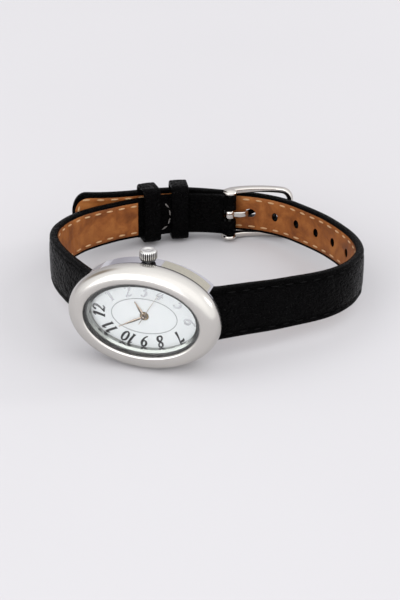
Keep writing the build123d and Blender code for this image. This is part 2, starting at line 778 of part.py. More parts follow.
with BuildPart() as coil_winding:
    with BuildSketch(Plane.YZ):
        with Locations((coil_depth, -coil_drop)):
            Circle(coil_radius)
            Rectangle(core_thickness + seat_gap, core_width + seat_gap, mode=Mode.SUBTRACT)
    extrude(amount=coil_half_length, both=True)

with BuildPart() as stator:
    with BuildSketch(facing(stator_back)):
        with Locations(rotor_centre):
            Circle(stator_ring_radius)
        right_end = (core_half_length - stator_arm_width / 2, -coil_drop)
        left_end = (-core_half_length + stator_arm_width / 2, -coil_drop)
        left_knee = (left_end[0], left_end[1] + stator_knee_rise)
        ring_left = (rotor_centre[0] - stator_ring_radius * 0.7, rotor_centre[1] - stator_ring_radius * 0.5)
        for start, end in ((rotor_centre, right_end), (ring_left, left_knee), (left_knee, left_end)):
            run = hypot(end[0] - start[0], end[1] - start[1])
            turn = degrees(atan2(end[1] - start[1], end[0] - start[0]))
            middle = ((start[0] + end[0]) / 2, (start[1] + end[1]) / 2)
            with Locations(Location((middle[0], middle[1], 0), (0, 0, turn))):
                Rectangle(run + stator_arm_width * 0.6, stator_arm_width * 0.8)
        with Locations(rotor_centre):
            Circle(stator_bore_radius, mode=Mode.SUBTRACT)
        with Locations(fifth_centre):
            Circle(pivot_radius * 3, mode=Mode.SUBTRACT)
    extrude(amount=stator_back - stator_front)
    for end in (left_end, right_end):
        with BuildSketch(facing(coil_depth - core_thickness / 2)):
            with Locations(end):
                Rectangle(stator_arm_width * 0.7, core_width)
        extrude(amount=coil_depth - core_thickness / 2 - stator_back)

# Circuit board with its can, the cell and its contact spring
with BuildPart() as circuit_board:
    with BuildSketch(facing(board_back)):
        with Locations((board_reach, board_rise)):
            RectangleRounded(board_length, board_height, board_length * 0.2)
    extrude(amount=board_back - board_front)

with BuildPart() as quartz_can:
    upright(board_reach, board_back + can_radius, board_rise - can_length / 2, can_radius, can_length)
    fillet(quartz_can.edges().filter_by(GeomType.CIRCLE), radius=can_radius * 0.3)

with BuildPart() as battery:
    disc(battery_radius, battery_front, battery_back - battery_rim_height,
         centre=(battery_reach, battery_rise))
    disc(battery_rim_radius, battery_back - battery_rim_height, battery_back,
         centre=(battery_reach, battery_rise))

with BuildPart() as battery_strap:
    with BuildSketch(facing(contact_back)):
        with Locations(Location((battery_reach, battery_rise + contact_width / 2, 0), (0, 0, contact_turn))):
            RectangleRounded(contact_length, contact_width, contact_width * 0.3)
    extrude(amount=contact_back - contact_front)
    disc(contact_width * 0.3, battery_back, contact_front,
         centre=(battery_reach, battery_rise + contact_width / 2))

# Stem, clutch and setting lever
with BuildPart() as setting_stem:
    upright(0, stem_depth, stem_bottom, stem_radius, crown_base + crown_bore_height - stem_bottom)
    upright(0, stem_depth, stem_groove_bottom, stem_radius * 2, stem_groove_length, mode=Mode.SUBTRACT)
    upright(0, stem_depth, stem_groove_bottom, stem_groove_radius, stem_groove_length)

with BuildPart() as clutch_pinion:
    upright(0, stem_depth, clutch_bottom, clutch_radius, clutch_length)
    with BuildSketch(Plane.XY.offset(clutch_bottom)):
        with Locations((0, stem_depth)):
            with PolarLocations(clutch_radius, clutch_teeth):
                Circle(clutch_radius * 0.16)
    extrude(amount=clutch_length, mode=Mode.SUBTRACT)
    upright(0, stem_depth, clutch_bottom, stem_radius + fit_gap, clutch_length, mode=Mode.SUBTRACT)

with BuildPart() as setting_lever:
    lever_middle = stem_groove_bottom + stem_groove_length / 2
    with BuildSketch(facing(stem_depth + lever_thickness / 2)):
        with Locations((lever_length / 2 + stem_groove_radius + pivot_gap, lever_middle)):
            Rectangle(lever_length, stem_groove_length * 0.7)
        with Locations((lever_length + stem_groove_radius, lever_middle - lever_width)):
            Circle(lever_width)
    extrude(amount=lever_thickness)

# Fluted crown with its seal and the tube in the case wall
with BuildPart() as crown:
    upright(0, stem_depth, crown_base, crown_radius, crown_height)
    chamfer(crown.edges().filter_by(GeomType.CIRCLE).sort_by(Axis.Z)[-1], length=crown_edge)
    with BuildSketch(Plane.XY.offset(crown_base)):
        with Locations((0, stem_depth)):
            with PolarLocations(crown_radius, crown_flutes):
                Circle(crown_flute_radius)
    extrude(amount=crown_height, mode=Mode.SUBTRACT)
    upright(0, stem_depth, crown_base, crown_bore_radius, crown_bore_height, mode=Mode.SUBTRACT)

with BuildPart() as crown_gasket:
    upright(0, stem_depth, crown_base + crown_gasket_width, tube_radius + crown_gasket_width,
            crown_gasket_width)
    upright(0, stem_depth, crown_base + crown_gasket_width, tube_radius + fit_gap, crown_gasket_width,
            mode=Mode.SUBTRACT)

with BuildPart() as crown_tube:
    upright(0, stem_depth, tube_bottom, tube_radius, tube_top - tube_bottom)
    upright(0, stem_depth, tube_bottom, tube_bore_radius, tube_top - tube_bottom, mode=Mode.SUBTRACT)


def spring_bar(reach):
    # Tube with a collar at each end and the lower tip fixed in it
    half = strap_width_lug / 2 - bar_end_gap
    upright(reach, bar_depth, -half, bar_radius, 2 * half)
    upright(reach, bar_depth, -bar_tip_reach, bar_tip_radius, bar_tip_reach - half)
    upright(reach, bar_depth, bar_tip_root, bar_tip_radius + fit_gap, half, mode=Mode.SUBTRACT)


def spring_bar_tip(reach):
    bottom = bar_tip_root + bar_tip_travel
    upright(reach, bar_depth, bottom, bar_tip_radius, bar_tip_reach - bottom)


with BuildPart() as spring_bar_12:
    spring_bar(-bar_reach)

with BuildPart() as spring_bar_12_tip:
    spring_bar_tip(-bar_reach)

with BuildPart() as spring_bar_6:
    spring_bar(bar_reach)

with BuildPart() as spring_bar_6_tip:
    spring_bar_tip(bar_reach)

# Buckle pin, frame with arched rails and an end bar, and the prong
with BuildPart() as buckle_bar:
    upright(pin_x, pin_y, -buckle_half_width + seat_gap, buckle_pin_radius,
            2 * (buckle_half_width - seat_gap))

rail_points = placed(rail_outer_shares)
rail_path = Spline(*rail_points)
end_x, end_y = rail_points[-1]
with BuildPart() as buckle_frame:
    outer = beside(rail_path, 0, rail_path.length, -rail_thickness / 2, count=16)
    inner = beside(rail_path, 0, rail_path.length, rail_thickness / 2, count=16)
    for side in (-1, 1):
        with BuildSketch(Plane.XY.offset(side * (buckle_half_width - rail_width / 2))):
            with BuildLine():
                Spline(*outer)
                Spline(*inner)
                Line(outer[0], inner[0])
                Line(outer[-1], inner[-1])
            make_face()
            with Locations((pin_x, pin_y)):
                Circle(lobe_radius)
            with Locations((end_x, end_y)):
                Circle(end_bar_radius)
        extrude(amount=rail_width / 2, both=True)
    upright(end_x, end_y, -buckle_half_width, end_bar_radius, 2 * buckle_half_width)
    upright(pin_x, pin_y, -buckle_half_width, buckle_pin_radius + fit_gap, 2 * buckle_half_width,
            mode=Mode.SUBTRACT)

with BuildPart() as buckle_prong:
    prong_path = Spline(*placed(prong_shares))
    top = beside(prong_path, 0, prong_path.length, -prong_thickness / 2, count=16)
    under = beside(prong_path, 0, prong_path.length, prong_thickness / 2, count=16)
    with BuildSketch(Plane.XY):
        with BuildLine():
            Spline(*top)
            Spline(*under)
            Line(top[0], under[0])
            Line(top[-1], under[-1])
        make_face()
    extrude(amount=prong_shank_width / 2, both=True)
    upright(pin_x, pin_y, -prong_width / 2, prong_ring_radius, prong_width)
    upright(pin_x, pin_y, -prong_width / 2, buckle_pin_radius + fit_gap, prong_width, mode=Mode.SUBTRACT)

# Strap holes, measured along the six o'clock piece to the one that takes the prong
hole_positions = [prong_hole_position + hole_pitch * index
                  for index in range(-holes_towards_lug, holes_towards_tail + 1)]


def under_strap(share, back=0.0):
    # Plane clear below the lining, facing outwards, at a share of the route or a little before it
    point, run = strap_6_route @ share, strap_6_route % share
    clear = 2 * leather_outside
    return Plane((point.X - run.X * back - run.Y * clear, point.Y - run.Y * back + run.X * clear, 0),
                 x_dir=(run.X, run.Y, 0), z_dir=(run.Y, -run.X, 0))


def punch_holes():
    for position in hole_positions:
        length = prong_hole_length if position == prong_hole_position else hole_length
        share = position / strap_6_route.length
        with BuildSketch(under_strap(share)) as profile:
            with Locations((0, tail_climb((strap_6_route @ share).X))):
                Ellipse(length / 2, hole_width / 2)
        extrude(profile.sketch, amount=4 * leather_outside, mode=Mode.SUBTRACT)


def round_tail(margin=0.0):
    middle = tail_climb((strap_6_route @ 1).X)
    with BuildSketch(under_strap(1, tail_round)) as profile:
        with Locations((tail_round, middle)):
            Rectangle(2 * tail_round + fit_gap, strap_width_lug)
        with Locations((0, middle)):
            Ellipse(tail_round - margin, strap_width_buckle / 2 - margin, mode=Mode.SUBTRACT)
    extrude(profile.sketch, amount=4 * leather_outside, mode=Mode.SUBTRACT)


# Twelve o'clock strap piece, from its spring bar to the buckle pin
strap_12_length = strap_12_route.length
with BuildPart() as strap_12_leather:
    ribbon(strap_12_route, eye_bore_radius, strap_12_length - buckle_pin_radius,
           leather_inside, leather_outside, strap_width_lug / 2, strap_12_side)
    upright(-bar_reach, bar_depth, -strap_width_lug / 2, eye_radius, strap_width_lug)
    upright(pin_x, pin_y, -strap_width_lug / 2, eye_radius, strap_width_lug)
    taper()
    upright(-bar_reach, bar_depth, -strap_width_lug / 2, eye_bore_radius, strap_width_lug,
            mode=Mode.SUBTRACT)
    upright(pin_x, pin_y, -strap_width_lug / 2, buckle_pin_radius + seat_gap, strap_width_lug,
            mode=Mode.SUBTRACT)
    with BuildSketch(Plane.XY):
        with Locations((pin_x, pin_y)):
            Rectangle(2 * eye_radius + seat_gap, 2 * eye_radius + seat_gap)
    extrude(amount=buckle_notch / 2, both=True, mode=Mode.SUBTRACT)

with BuildPart() as strap_12_core:
    ribbon(strap_12_route, lining_start, strap_12_length - fold_end_gap, core_inside, leather_inside,
           strap_width_lug / 2, strap_12_side)
    taper(core_side_margin)

with BuildPart() as strap_12_lining:
    ribbon(strap_12_route, lining_start, fold_start, lining_inside, core_inside, strap_width_lug / 2,
           strap_12_side)
    taper()

with BuildPart() as strap_12_fold:
    ribbon(strap_12_route, fold_start, strap_12_length - fold_end_gap, lining_inside, core_inside,
           strap_width_lug / 2, strap_12_side)
    taper()

# Six o'clock strap piece, from its spring bar through the buckle and keepers to the tail
strap_6_length = strap_6_route.length
with BuildPart() as strap_6_leather:
    ribbon(strap_6_route, eye_bore_radius, strap_6_length, leather_inside, leather_outside,
           strap_width_lug, strap_6_side)
    upright(bar_reach, bar_depth, -strap_width_lug / 2, eye_radius, strap_width_lug)
    climb()
    upright(bar_reach, bar_depth, -strap_width_lug / 2, eye_bore_radius, strap_width_lug,
            mode=Mode.SUBTRACT)
    round_tail()
    punch_holes()

with BuildPart() as strap_6_core:
    ribbon(strap_6_route, lining_start, strap_6_length, core_inside, leather_inside, strap_width_lug,
           strap_6_side)
    climb(core_side_margin)
    round_tail(core_side_margin + fit_gap)
    punch_holes()

with BuildPart() as strap_6_lining:
    ribbon(strap_6_route, lining_start, strap_6_length, lining_inside, core_inside, strap_width_lug,
           strap_6_side)
    climb()
    round_tail()
    punch_holes()


def keeper(position):
    # Leather loop around both strap pieces
    share = position / strap_12_length
    point, run = strap_12_route @ share, strap_12_route % share
    outward = (-run.Y, run.X)
    middle = (point.X + outward[0] * closure_gap / 2, point.Y + outward[1] * closure_gap / 2, keeper_rise)
    inner_depth = closure_gap + 2 * leather_outside + 2 * keeper_gap
    inner_width = strap_width_buckle + 4 * keeper_gap + keeper_room
    with BuildSketch(Plane(middle, x_dir=(outward[0], outward[1], 0), z_dir=(run.X, run.Y, 0))) as profile:
        RectangleRounded(inner_depth + 2 * keeper_wall, inner_width + 2 * keeper_wall, keeper_corner)
        Rectangle(inner_depth, inner_width, mode=Mode.SUBTRACT)
    extrude(profile.sketch, amount=keeper_width / 2, both=True)


with BuildPart() as keeper_free:
    keeper(keeper_free_position)

with BuildPart() as keeper_fixed:
    keeper(keeper_fixed_position)

# Stand the watch on the lower edge of the bezel and of the buckle, and put the origin under its middle
blocks = {
    "case_body": case_body, "bezel": bezel, "crystal": crystal, "crystal_gasket": crystal_gasket,
    "dial_flange": dial_flange, "dial_plate": dial_plate, "dial_oval_line": dial_oval_line,
    "hour_numerals": hour_numerals, "hour_hand": hour_hand, "minute_hand": minute_hand,
    "seconds_hand": seconds_hand, "case_back": case_back, "case_back_gasket": case_back_gasket,
    "movement_holder": movement_holder, "main_plate": main_plate, "train_bridge": train_bridge,
    "bridge_screw_left": bridge_screw_left, "bridge_screw_right": bridge_screw_right,
    "rotor": rotor, "fifth_wheel": fifth_wheel, "seconds_wheel": seconds_wheel, "third_wheel": third_wheel,
    "centre_wheel": centre_wheel, "minute_wheel": minute_wheel, "hour_wheel": hour_wheel,
    "coil_core": coil_core, "coil_winding": coil_winding, "stator": stator, "circuit_board": circuit_board,
    "quartz_can": quartz_can, "battery": battery, "battery_strap": battery_strap,
    "setting_stem": setting_stem, "clutch_pinion": clutch_pinion, "setting_lever": setting_lever,
    "crown": crown, "crown_gasket": crown_gasket, "crown_tube": crown_tube,
    "spring_bar_12": spring_bar_12, "spring_bar_12_tip": spring_bar_12_tip,
    "spring_bar_6": spring_bar_6, "spring_bar_6_tip": spring_bar_6_tip,
    "buckle_bar": buckle_bar, "buckle_frame": buckle_frame, "buckle_prong": buckle_prong,
    "keeper_free": keeper_free, "keeper_fixed": keeper_fixed,
    "strap_12_leather": strap_12_leather, "strap_12_core": strap_12_core,
    "strap_12_lining": strap_12_lining, "strap_12_fold": strap_12_fold,
    "strap_6_leather": strap_6_leather, "strap_6_core": strap_6_core, "strap_6_lining": strap_6_lining,
}
lean = degrees(atan2(bezel_height / 2 - buckle_half_width, end_y))
leaned = {label: Rot(X=-lean) * block.part for label, block in blocks.items()}
box = Compound(children=[Compound(shape.solids()) for shape in leaned.values()]).bounding_box()
shift = (-(box.min.X + box.max.X) / 2, -(box.min.Y + box.max.Y) / 2, -box.min.Z)
print("lean", lean, "shift", shift, "size", box.size)
print("lengths", strap_12_length, strap_6_length)

os.makedirs("parts", exist_ok=True)
for label, shape in leaned.items():
    placed_shape = Pos(*shift) * shape
    placed_shape.label = label
    export_step(placed_shape, "parts/" + label + ".step")
    print(label, len(placed_shape.solids()), round(placed_shape.volume, 3))
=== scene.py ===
import json
from bisect import bisect_right
from math import atan2, cos, exp, hypot, pi, radians, sin, sqrt

import bmesh
import bpy
from mathutils import Matrix, Vector, noise


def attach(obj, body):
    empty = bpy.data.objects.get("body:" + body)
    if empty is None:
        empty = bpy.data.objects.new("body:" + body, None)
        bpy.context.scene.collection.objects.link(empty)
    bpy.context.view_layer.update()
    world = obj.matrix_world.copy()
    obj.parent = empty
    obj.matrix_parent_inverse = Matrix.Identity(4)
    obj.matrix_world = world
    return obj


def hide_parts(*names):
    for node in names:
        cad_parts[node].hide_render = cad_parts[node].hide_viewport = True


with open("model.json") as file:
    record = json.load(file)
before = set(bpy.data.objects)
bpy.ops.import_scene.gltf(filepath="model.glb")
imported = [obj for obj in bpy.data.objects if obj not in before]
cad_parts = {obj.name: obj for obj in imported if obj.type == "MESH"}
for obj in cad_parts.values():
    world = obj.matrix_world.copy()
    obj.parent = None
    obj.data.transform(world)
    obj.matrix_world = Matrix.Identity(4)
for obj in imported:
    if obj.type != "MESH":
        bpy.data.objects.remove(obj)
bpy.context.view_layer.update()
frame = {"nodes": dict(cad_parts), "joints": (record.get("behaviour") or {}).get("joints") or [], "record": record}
nodes = frame["nodes"]
scene = bpy.context.scene
print("solid model loaded,", len(nodes), "nodes")

# The watch leans on its bezel, so it is modelled in its own millimetres: x towards six o'clock,
# y from the dial into the loop, z up through the crown. Its joints give that frame.
joints = {joint["name"]: joint for joint in frame["joints"]}
crownDirection = Vector(joints["crown_turn"]["axis"]).normalized()
facingDirection = Vector(joints["seconds_turn"]["axis"]).normalized()
watchTurn = Matrix((Vector((1, 0, 0)), -facingDirection, crownDirection)).transposed()
handCentre = Vector(joints["seconds_turn"]["pos_m"])
watchFrame = (Matrix.Translation(handCentre) @ watchTurn.to_4x4() @ Matrix.Scale(0.001, 4)
              @ Matrix.Translation((0, -0.5, 0)))

# Camera, as the photograph sees the watch
cameraSettings = {
    "turn": 16.0,                # degrees round towards six o'clock
    "rise": 26.0,                # degrees above square to the dial
    "roll": 0.5,
    "focal": 1600.0,             # pixels of the 400 x 600 frame
    "frameSize": (400, 600),
    "distance": 316.2,
    "aim": (0.0, -1.2, 0.0),
    "aimPixel": (143.2, 317.5),
}


def placeCamera(settings):
    turn, rise, roll = (radians(settings[key]) for key in ("turn", "rise", "roll"))
    back = Vector((sin(turn) * cos(rise), -cos(turn) * cos(rise), sin(rise)))
    right = Vector((cos(turn), sin(turn), 0))
    up = back.cross(right)
    level = right * cos(roll) + up * sin(roll)
    upright = up * cos(roll) - right * sin(roll)
    wide, high = settings["frameSize"]
    aside = (settings["aimPixel"][0] - wide / 2) / settings["focal"] * settings["distance"]
    above = (high / 2 - settings["aimPixel"][1]) / settings["focal"] * settings["distance"]
    eye = Vector(settings["aim"]) - level * aside - upright * above + back * settings["distance"]
    view = bpy.data.cameras.new("camera")
    view.sensor_fit = "VERTICAL"
    view.sensor_height = 36
    view.lens = settings["focal"] / high * view.sensor_height
    view.clip_start = 0.01
    camera = bpy.data.objects.new("camera", view)
    scene.collection.objects.link(camera)
    facing = Matrix((level, upright, back)).transposed()
    camera.matrix_world = Matrix.Translation(watchFrame @ eye) @ (watchTurn @ facing).to_4x4()
    scene.camera = camera


placeCamera(cameraSettings)
scene.view_settings.view_transform = "Standard"
print("camera placed")


# Small tools for materials
def addNode(tree, kind, values=None, **links):
    made = tree.nodes.new(kind)
    for key, value in (values or {}).items():
        if hasattr(made, key):
            setattr(made, key, value)
        else:
            made.inputs[key].default_value = value
    for key, source in links.items():
        tree.links.new(source, made.inputs[key])
    return made


finishes = {}


def startFinish(name, colour, metal=0.0, rough=0.5):
    finish = bpy.data.materials.new(name)
    finish.use_nodes = True
    finish.diffuse_color = (*colour, 1)
    shader = finish.node_tree.nodes["Principled BSDF"]
    shader.inputs["Base Color"].default_value = (*colour, 1)
    shader.inputs["Metallic"].default_value = metal
    shader.inputs["Roughness"].default_value = rough
    finishes[name] = finish
    return finish.node_tree, shader


mapReach = 200                       # millimetres of leather to one unit of the strap's flat map


def millimetres(tree, stretch=(1, 1, 1), mapName=""):
    # Pattern coordinates in millimetres, from the object or from the strap's own flat map
    if mapName:
        source, unit = addNode(tree, "ShaderNodeUVMap", {"uv_map": mapName}).outputs["UV"], mapReach
    else:
        source, unit = addNode(tree, "ShaderNodeTexCoord").outputs["Object"], 1000
    return addNode(tree, "ShaderNodeMapping", {"Scale": [unit * part for part in stretch]},
                   Vector=source).outputs["Vector"]


def noiseOf(tree, where, scale, detail=4.0, rough=0.55, distort=0.0):
    return addNode(tree, "ShaderNodeTexNoise", {"Scale": scale, "Detail": detail, "Roughness": rough,
                                                "Distortion": distort}, Vector=where).outputs["Fac"]


def rampOf(tree, source, stops):
    ramp = addNode(tree, "ShaderNodeValToRGB", Fac=source)
    marks = ramp.color_ramp.elements
    while len(marks) < len(stops):
        marks.new(0.5)
    for mark, (place, colour) in zip(marks, stops):
        mark.position = place
        mark.color = (*colour, 1) if isinstance(colour, tuple) else (colour, colour, colour, 1)
    return ramp.outputs["Color"]


def mathOf(tree, operation, first, second):
    made = addNode(tree, "ShaderNodeMath", {"operation": operation})
    for socket, value in zip(made.inputs, (first, second)):
        if isinstance(value, (int, float)):
            socket.default_value = value
        else:
            tree.links.new(value, socket)
    return made.outputs["Value"]


def mixOf(tree, factor, first, second):
    mixer = addNode(tree, "ShaderNodeMix", {"data_type": "RGBA"})
    tree.links.new(factor, mixer.inputs[0])
    for socket, value in zip((mixer.inputs[6], mixer.inputs[7]), (first, second)):
        if isinstance(value, tuple):
            socket.default_value = (*value, 1)
        else:
            tree.links.new(value, socket)
    return mixer.outputs[2]


def stepOf(tree, first, second, reach):
    # Rises from 0 to 1 as the first passes the second by the reach
    return rampOf(tree, mathOf(tree, "SUBTRACT", first, second), ((0.0, 0.0), (reach, 1.0)))


def paint(tree, shader, colour):
    tree.links.new(colour, shader.inputs["Base Color"])


def dull(tree, shader, roughness):
    tree.links.new(roughness, shader.inputs["Roughness"])


def addBump(tree, shader, height, depth):
    bump = addNode(tree, "ShaderNodeBump", {"Distance": depth * 0.001}, Height=height)
    tree.links.new(bump.outputs["Normal"], shader.inputs["Normal"])


# Metals
steelColour = (0.60, 0.59, 0.61)
brushedRough = (0.26, 0.42)


def polishedSteel(name, colour, rough):
    tree, shader = startFinish(name, colour, 1.0, rough[0])
    haze = noiseOf(tree, millimetres(tree), 0.35, 3)
    dull(tree, shader, rampOf(tree, haze, ((0.3, rough[0]), (0.75, rough[1]))))
    scratches = noiseOf(tree, millimetres(tree, (0.6, 5, 5)), 3.0, 3)
    addBump(tree, shader, scratches, 0.0008)


# the steel's colour, then painted shade at two depths in the flutes, and roughness
fluteSettings = {"colour": (0.66, 0.65, 0.63), "shade": (0.16, 0.155, 0.15), "dark": (0.01, 0.01, 0.01),
                 "rough": 0.14}


def crownSteel(settings):
    # Steel with painted shade that darkens it towards the bottoms of the flutes, which the crown's own layer marks
    tree, shader = startFinish("crownSteel", settings["colour"], 1.0, settings["rough"])
    depth = addNode(tree, "ShaderNodeAttribute", {"attribute_name": "groove"}).outputs["Fac"]
    stops = (0.0, settings["colour"]), (0.35, settings["shade"]), (0.75, settings["dark"])
    paint(tree, shader, rampOf(tree, depth, stops))
    addBump(tree, shader, noiseOf(tree, millimetres(tree), 8.0, 3), 0.002)


def brushedSteel(name, colour, stretch, rough=brushedRough):
    tree, shader = startFinish(name, colour, 1.0, rough[0])
    lines = noiseOf(tree, millimetres(tree, stretch), 1.0, 5, 0.6)
    dull(tree, shader, rampOf(tree, lines, ((0.3, rough[0]), (0.7, rough[1]))))
    dark = tuple(part * 0.86 for part in colour)
    paint(tree, shader, rampOf(tree, lines, ((0.25, dark), (0.75, colour))))
    addBump(tree, shader, lines, 0.004)


bandSettings = {
    # brushed panel between the crown and the six o'clock end, in millimetres
    "panelFrom": -0.6, "panelTo": 9.2, "panelBack": 3.55, "fade": 0.35, "backFade": 0.2,
    "panelDark": (0.44, 0.415, 0.345), "panelPale": (0.56, 0.53, 0.45), "panelRough": 0.36,
    # polished elsewhere, but matt beyond this at the twelve o'clock end
    "bright": (0.60, 0.595, 0.64), "polish": 0.08,
    "mattFrom": 12.9, "matt": (0.48, 0.48, 0.50), "mattRough": 0.5, "mattFade": 0.12,
}


def bandSteel(settings):
    tree, shader = startFinish("bandSteel", steelColour, 1.0, settings["polish"])
    where = addNode(tree, "ShaderNodeSeparateXYZ", Vector=millimetres(tree)).outputs
    depth = mathOf(tree, "ADD", mathOf(tree, "MULTIPLY", where["Y"], -facingDirection.y),
                   mathOf(tree, "MULTIPLY", where["Z"], -facingDirection.z))
    back = settings["panelBack"] - facingDirection.dot(handCentre) * 1000
    inside = mathOf(tree, "MULTIPLY", stepOf(tree, where["X"], settings["panelFrom"], settings["fade"]),
                    stepOf(tree, settings["panelTo"], where["X"], settings["fade"]))
    inside = mathOf(tree, "MULTIPLY", inside, stepOf(tree, back, depth, settings["backFade"]))
    lines = noiseOf(tree, millimetres(tree, (0.5, 11, 3)), 1.0, 5)
    brushed = rampOf(tree, lines, ((0.3, settings["panelDark"]), (0.7, settings["panelPale"])))
    past = mathOf(tree, "MULTIPLY", mathOf(tree, "ADD", where["X"], settings["mattFrom"]), -0.1)
    colour = rampOf(tree, past, ((0.0, settings["bright"]), (settings["mattFade"], settings["matt"])))
    rough = rampOf(tree, past, ((0.0, settings["polish"]), (settings["mattFade"], settings["mattRough"])))
    paint(tree, shader, mixOf(tree, inside, colour, brushed))
    dull(tree, shader, mixOf(tree, inside, rough, (settings["panelRough"],) * 3))
    addBump(tree, shader, mathOf(tree, "MULTIPLY", lines, inside), 0.004)


# Leathers; the strap pieces carry a flat map in millimetres
leatherSettings = {
    "black": (0.0012, 0.0011, 0.0012),
    "blackWorn": (0.002, 0.0019, 0.002),
    "blackShine": 0.018,
    "grainSize": 2.2,            # pebbles per millimetre
    "creaseDepth": 0.55,
    "tanDark": (0.125, 0.034, 0.006),
    "tan": (0.235, 0.072, 0.014),
    "tanPale": (0.335, 0.120, 0.028),
    "tanShine": 0.22,
    "tanDepth": 0.07,
}


def blackLeather(name, mapName=""):
    tree, shader = startFinish(name, leatherSettings["black"], 0.0, 0.38)
    flat = millimetres(tree, (1, 1, 1), mapName)
    wavy = noiseOf(tree, millimetres(tree, (0.30, 0.85, 0.6), mapName), 1.0, 3, 0.5, 1.1)
    bend = addNode(tree, "ShaderNodeVectorMath", {"operation": "ADD"})
    wander = addNode(tree, "ShaderNodeTexNoise", {"Scale": 0.8, "Detail": 2.0}, Vector=flat)
    tree.links.new(millimetres(tree, (0.55, 1.25, 1.0), mapName), bend.inputs[0])
    tree.links.new(wander.outputs["Color"], bend.inputs[1])
    crease = addNode(tree, "ShaderNodeTexVoronoi", {"feature": "DISTANCE_TO_EDGE", "Scale": 0.95},
                     Vector=bend.outputs["Vector"])
    folds = rampOf(tree, crease.outputs["Distance"], ((0.0, 0.0), (0.16, 1.0)))
    pebbles = addNode(tree, "ShaderNodeTexVoronoi", {"feature": "SMOOTH_F1", "Smoothness": 0.6,
                                                     "Scale": leatherSettings["grainSize"]},
                      Vector=flat).outputs["Distance"]
    grain = mathOf(tree, "MULTIPLY", mathOf(tree, "SUBTRACT", 1.0, pebbles), 0.32)
    height = mathOf(tree, "ADD", mathOf(tree, "ADD", mathOf(tree, "MULTIPLY", folds, 0.42), grain),
                    mathOf(tree, "MULTIPLY", wavy, 0.9))
    addBump(tree, shader, height, leatherSettings["creaseDepth"])
    worn = rampOf(tree, noiseOf(tree, flat, 0.5, 5), ((0.42, 0.0), (0.72, 1.0)))
    paint(tree, shader, mixOf(tree, worn, leatherSettings["black"], leatherSettings["blackWorn"]))
    sheen = mathOf(tree, "MULTIPLY", pebbles, wavy)
    dull(tree, shader, rampOf(tree, sheen, ((0.05, 0.12), (0.4, 0.30))))
    shader.inputs["Specular IOR Level"].default_value = leatherSettings["blackShine"]


def tanLeather(name, mapName=""):
    tan = leatherSettings["tan"]
    tree, shader = startFinish(name, tan, 0.0, 0.55)
    flat = millimetres(tree, (1, 1, 1), mapName)
    clouds = noiseOf(tree, flat, 0.22, 5, 0.62, 0.5)
    tone = rampOf(tree, clouds, ((0.32, leatherSettings["tanDark"]), (0.50, tan),
                                 (0.68, leatherSettings["tanPale"])))
    pores = addNode(tree, "ShaderNodeTexVoronoi", {"feature": "F1", "Scale": 3.6}, Vector=flat)
    specks = rampOf(tree, pores.outputs["Distance"], ((0.10, 0.0), (0.24, 1.0)))
    paint(tree, shader, mixOf(tree, specks, tuple(part * 0.72 for part in tan), tone))
    wrinkles = noiseOf(tree, millimetres(tree, (1.5, 0.22, 1.0), mapName), 1.0, 4, 0.6, 0.8)
    height = mathOf(tree, "ADD", mathOf(tree, "MULTIPLY", specks, 0.25),
                    mathOf(tree, "MULTIPLY", wrinkles, 0.9))
    addBump(tree, shader, height, leatherSettings["tanDepth"])
    dull(tree, shader, rampOf(tree, clouds, ((0.3, 0.42), (0.7, 0.62))))
    shader.inputs["Specular IOR Level"].default_value = leatherSettings["tanShine"]


def threadFinish(name, pale, dark, shine=0.3, sheen=0.15):
    tree, shader = startFinish(name, pale, 0.0, 0.7)
    twist = addNode(tree, "ShaderNodeTexWave", {"Scale": 2.4, "Distortion": 1.2, "Detail": 1.0},
                    Vector=millimetres(tree)).outputs["Fac"]
    paint(tree, shader, rampOf(tree, twist, ((0.2, dark), (0.7, pale))))
    addBump(tree, shader, twist, 0.03)
    shader.inputs["Specular IOR Level"].default_value = shine
    shader.inputs["Sheen Weight"].default_value = sheen


# Dial, print, hands, glass and the inner works
def dialFinish():
    tree, shader = startFinish("dialWhite", (0.94, 0.95, 0.965), 0.0, 0.34)
    where = millimetres(tree)
    silk = noiseOf(tree, where, 14.0, 3)
    soft = noiseOf(tree, where, 0.16, 2)
    paint(tree, shader, rampOf(tree, soft, ((0.3, (0.92, 0.93, 0.945)), (0.7, (0.955, 0.96, 0.965)))))
    dull(tree, shader, rampOf(tree, silk, ((0.35, 0.28), (0.65, 0.42))))
    addBump(tree, shader, silk, 0.003)
    shader.inputs["Coat Weight"].default_value = 0.15


def plainFinish(name, colour, metal=0.0, rough=0.5, grain=6.0, depth=0.004, spread=0.12):
    # Moulded, plated or printed surface with a fine grain of its own
    tree, shader = startFinish(name, colour, metal, rough)
    fine = noiseOf(tree, millimetres(tree), grain, 4)
    dark = tuple(part * (1 - spread) for part in colour)
    paint(tree, shader, rampOf(tree, fine, ((0.3, dark), (0.7, colour))))
    dull(tree, shader, rampOf(tree, fine, ((0.3, max(rough - 0.06, 0.02)), (0.7, min(rough + 0.08, 1)))))
    addBump(tree, shader, fine, depth)


numeralSettings = {
    "low": (0.012, 0.012, 0.013), "high": (0.74, 0.745, 0.76),
    # the painted change, from shade on the lower figures to reflection on the upper ones, runs up the dial, a
    # little aslant
    "reach": 16.0, "tilt": 0.15, "lowAt": 0.43, "highAt": 0.60,
}


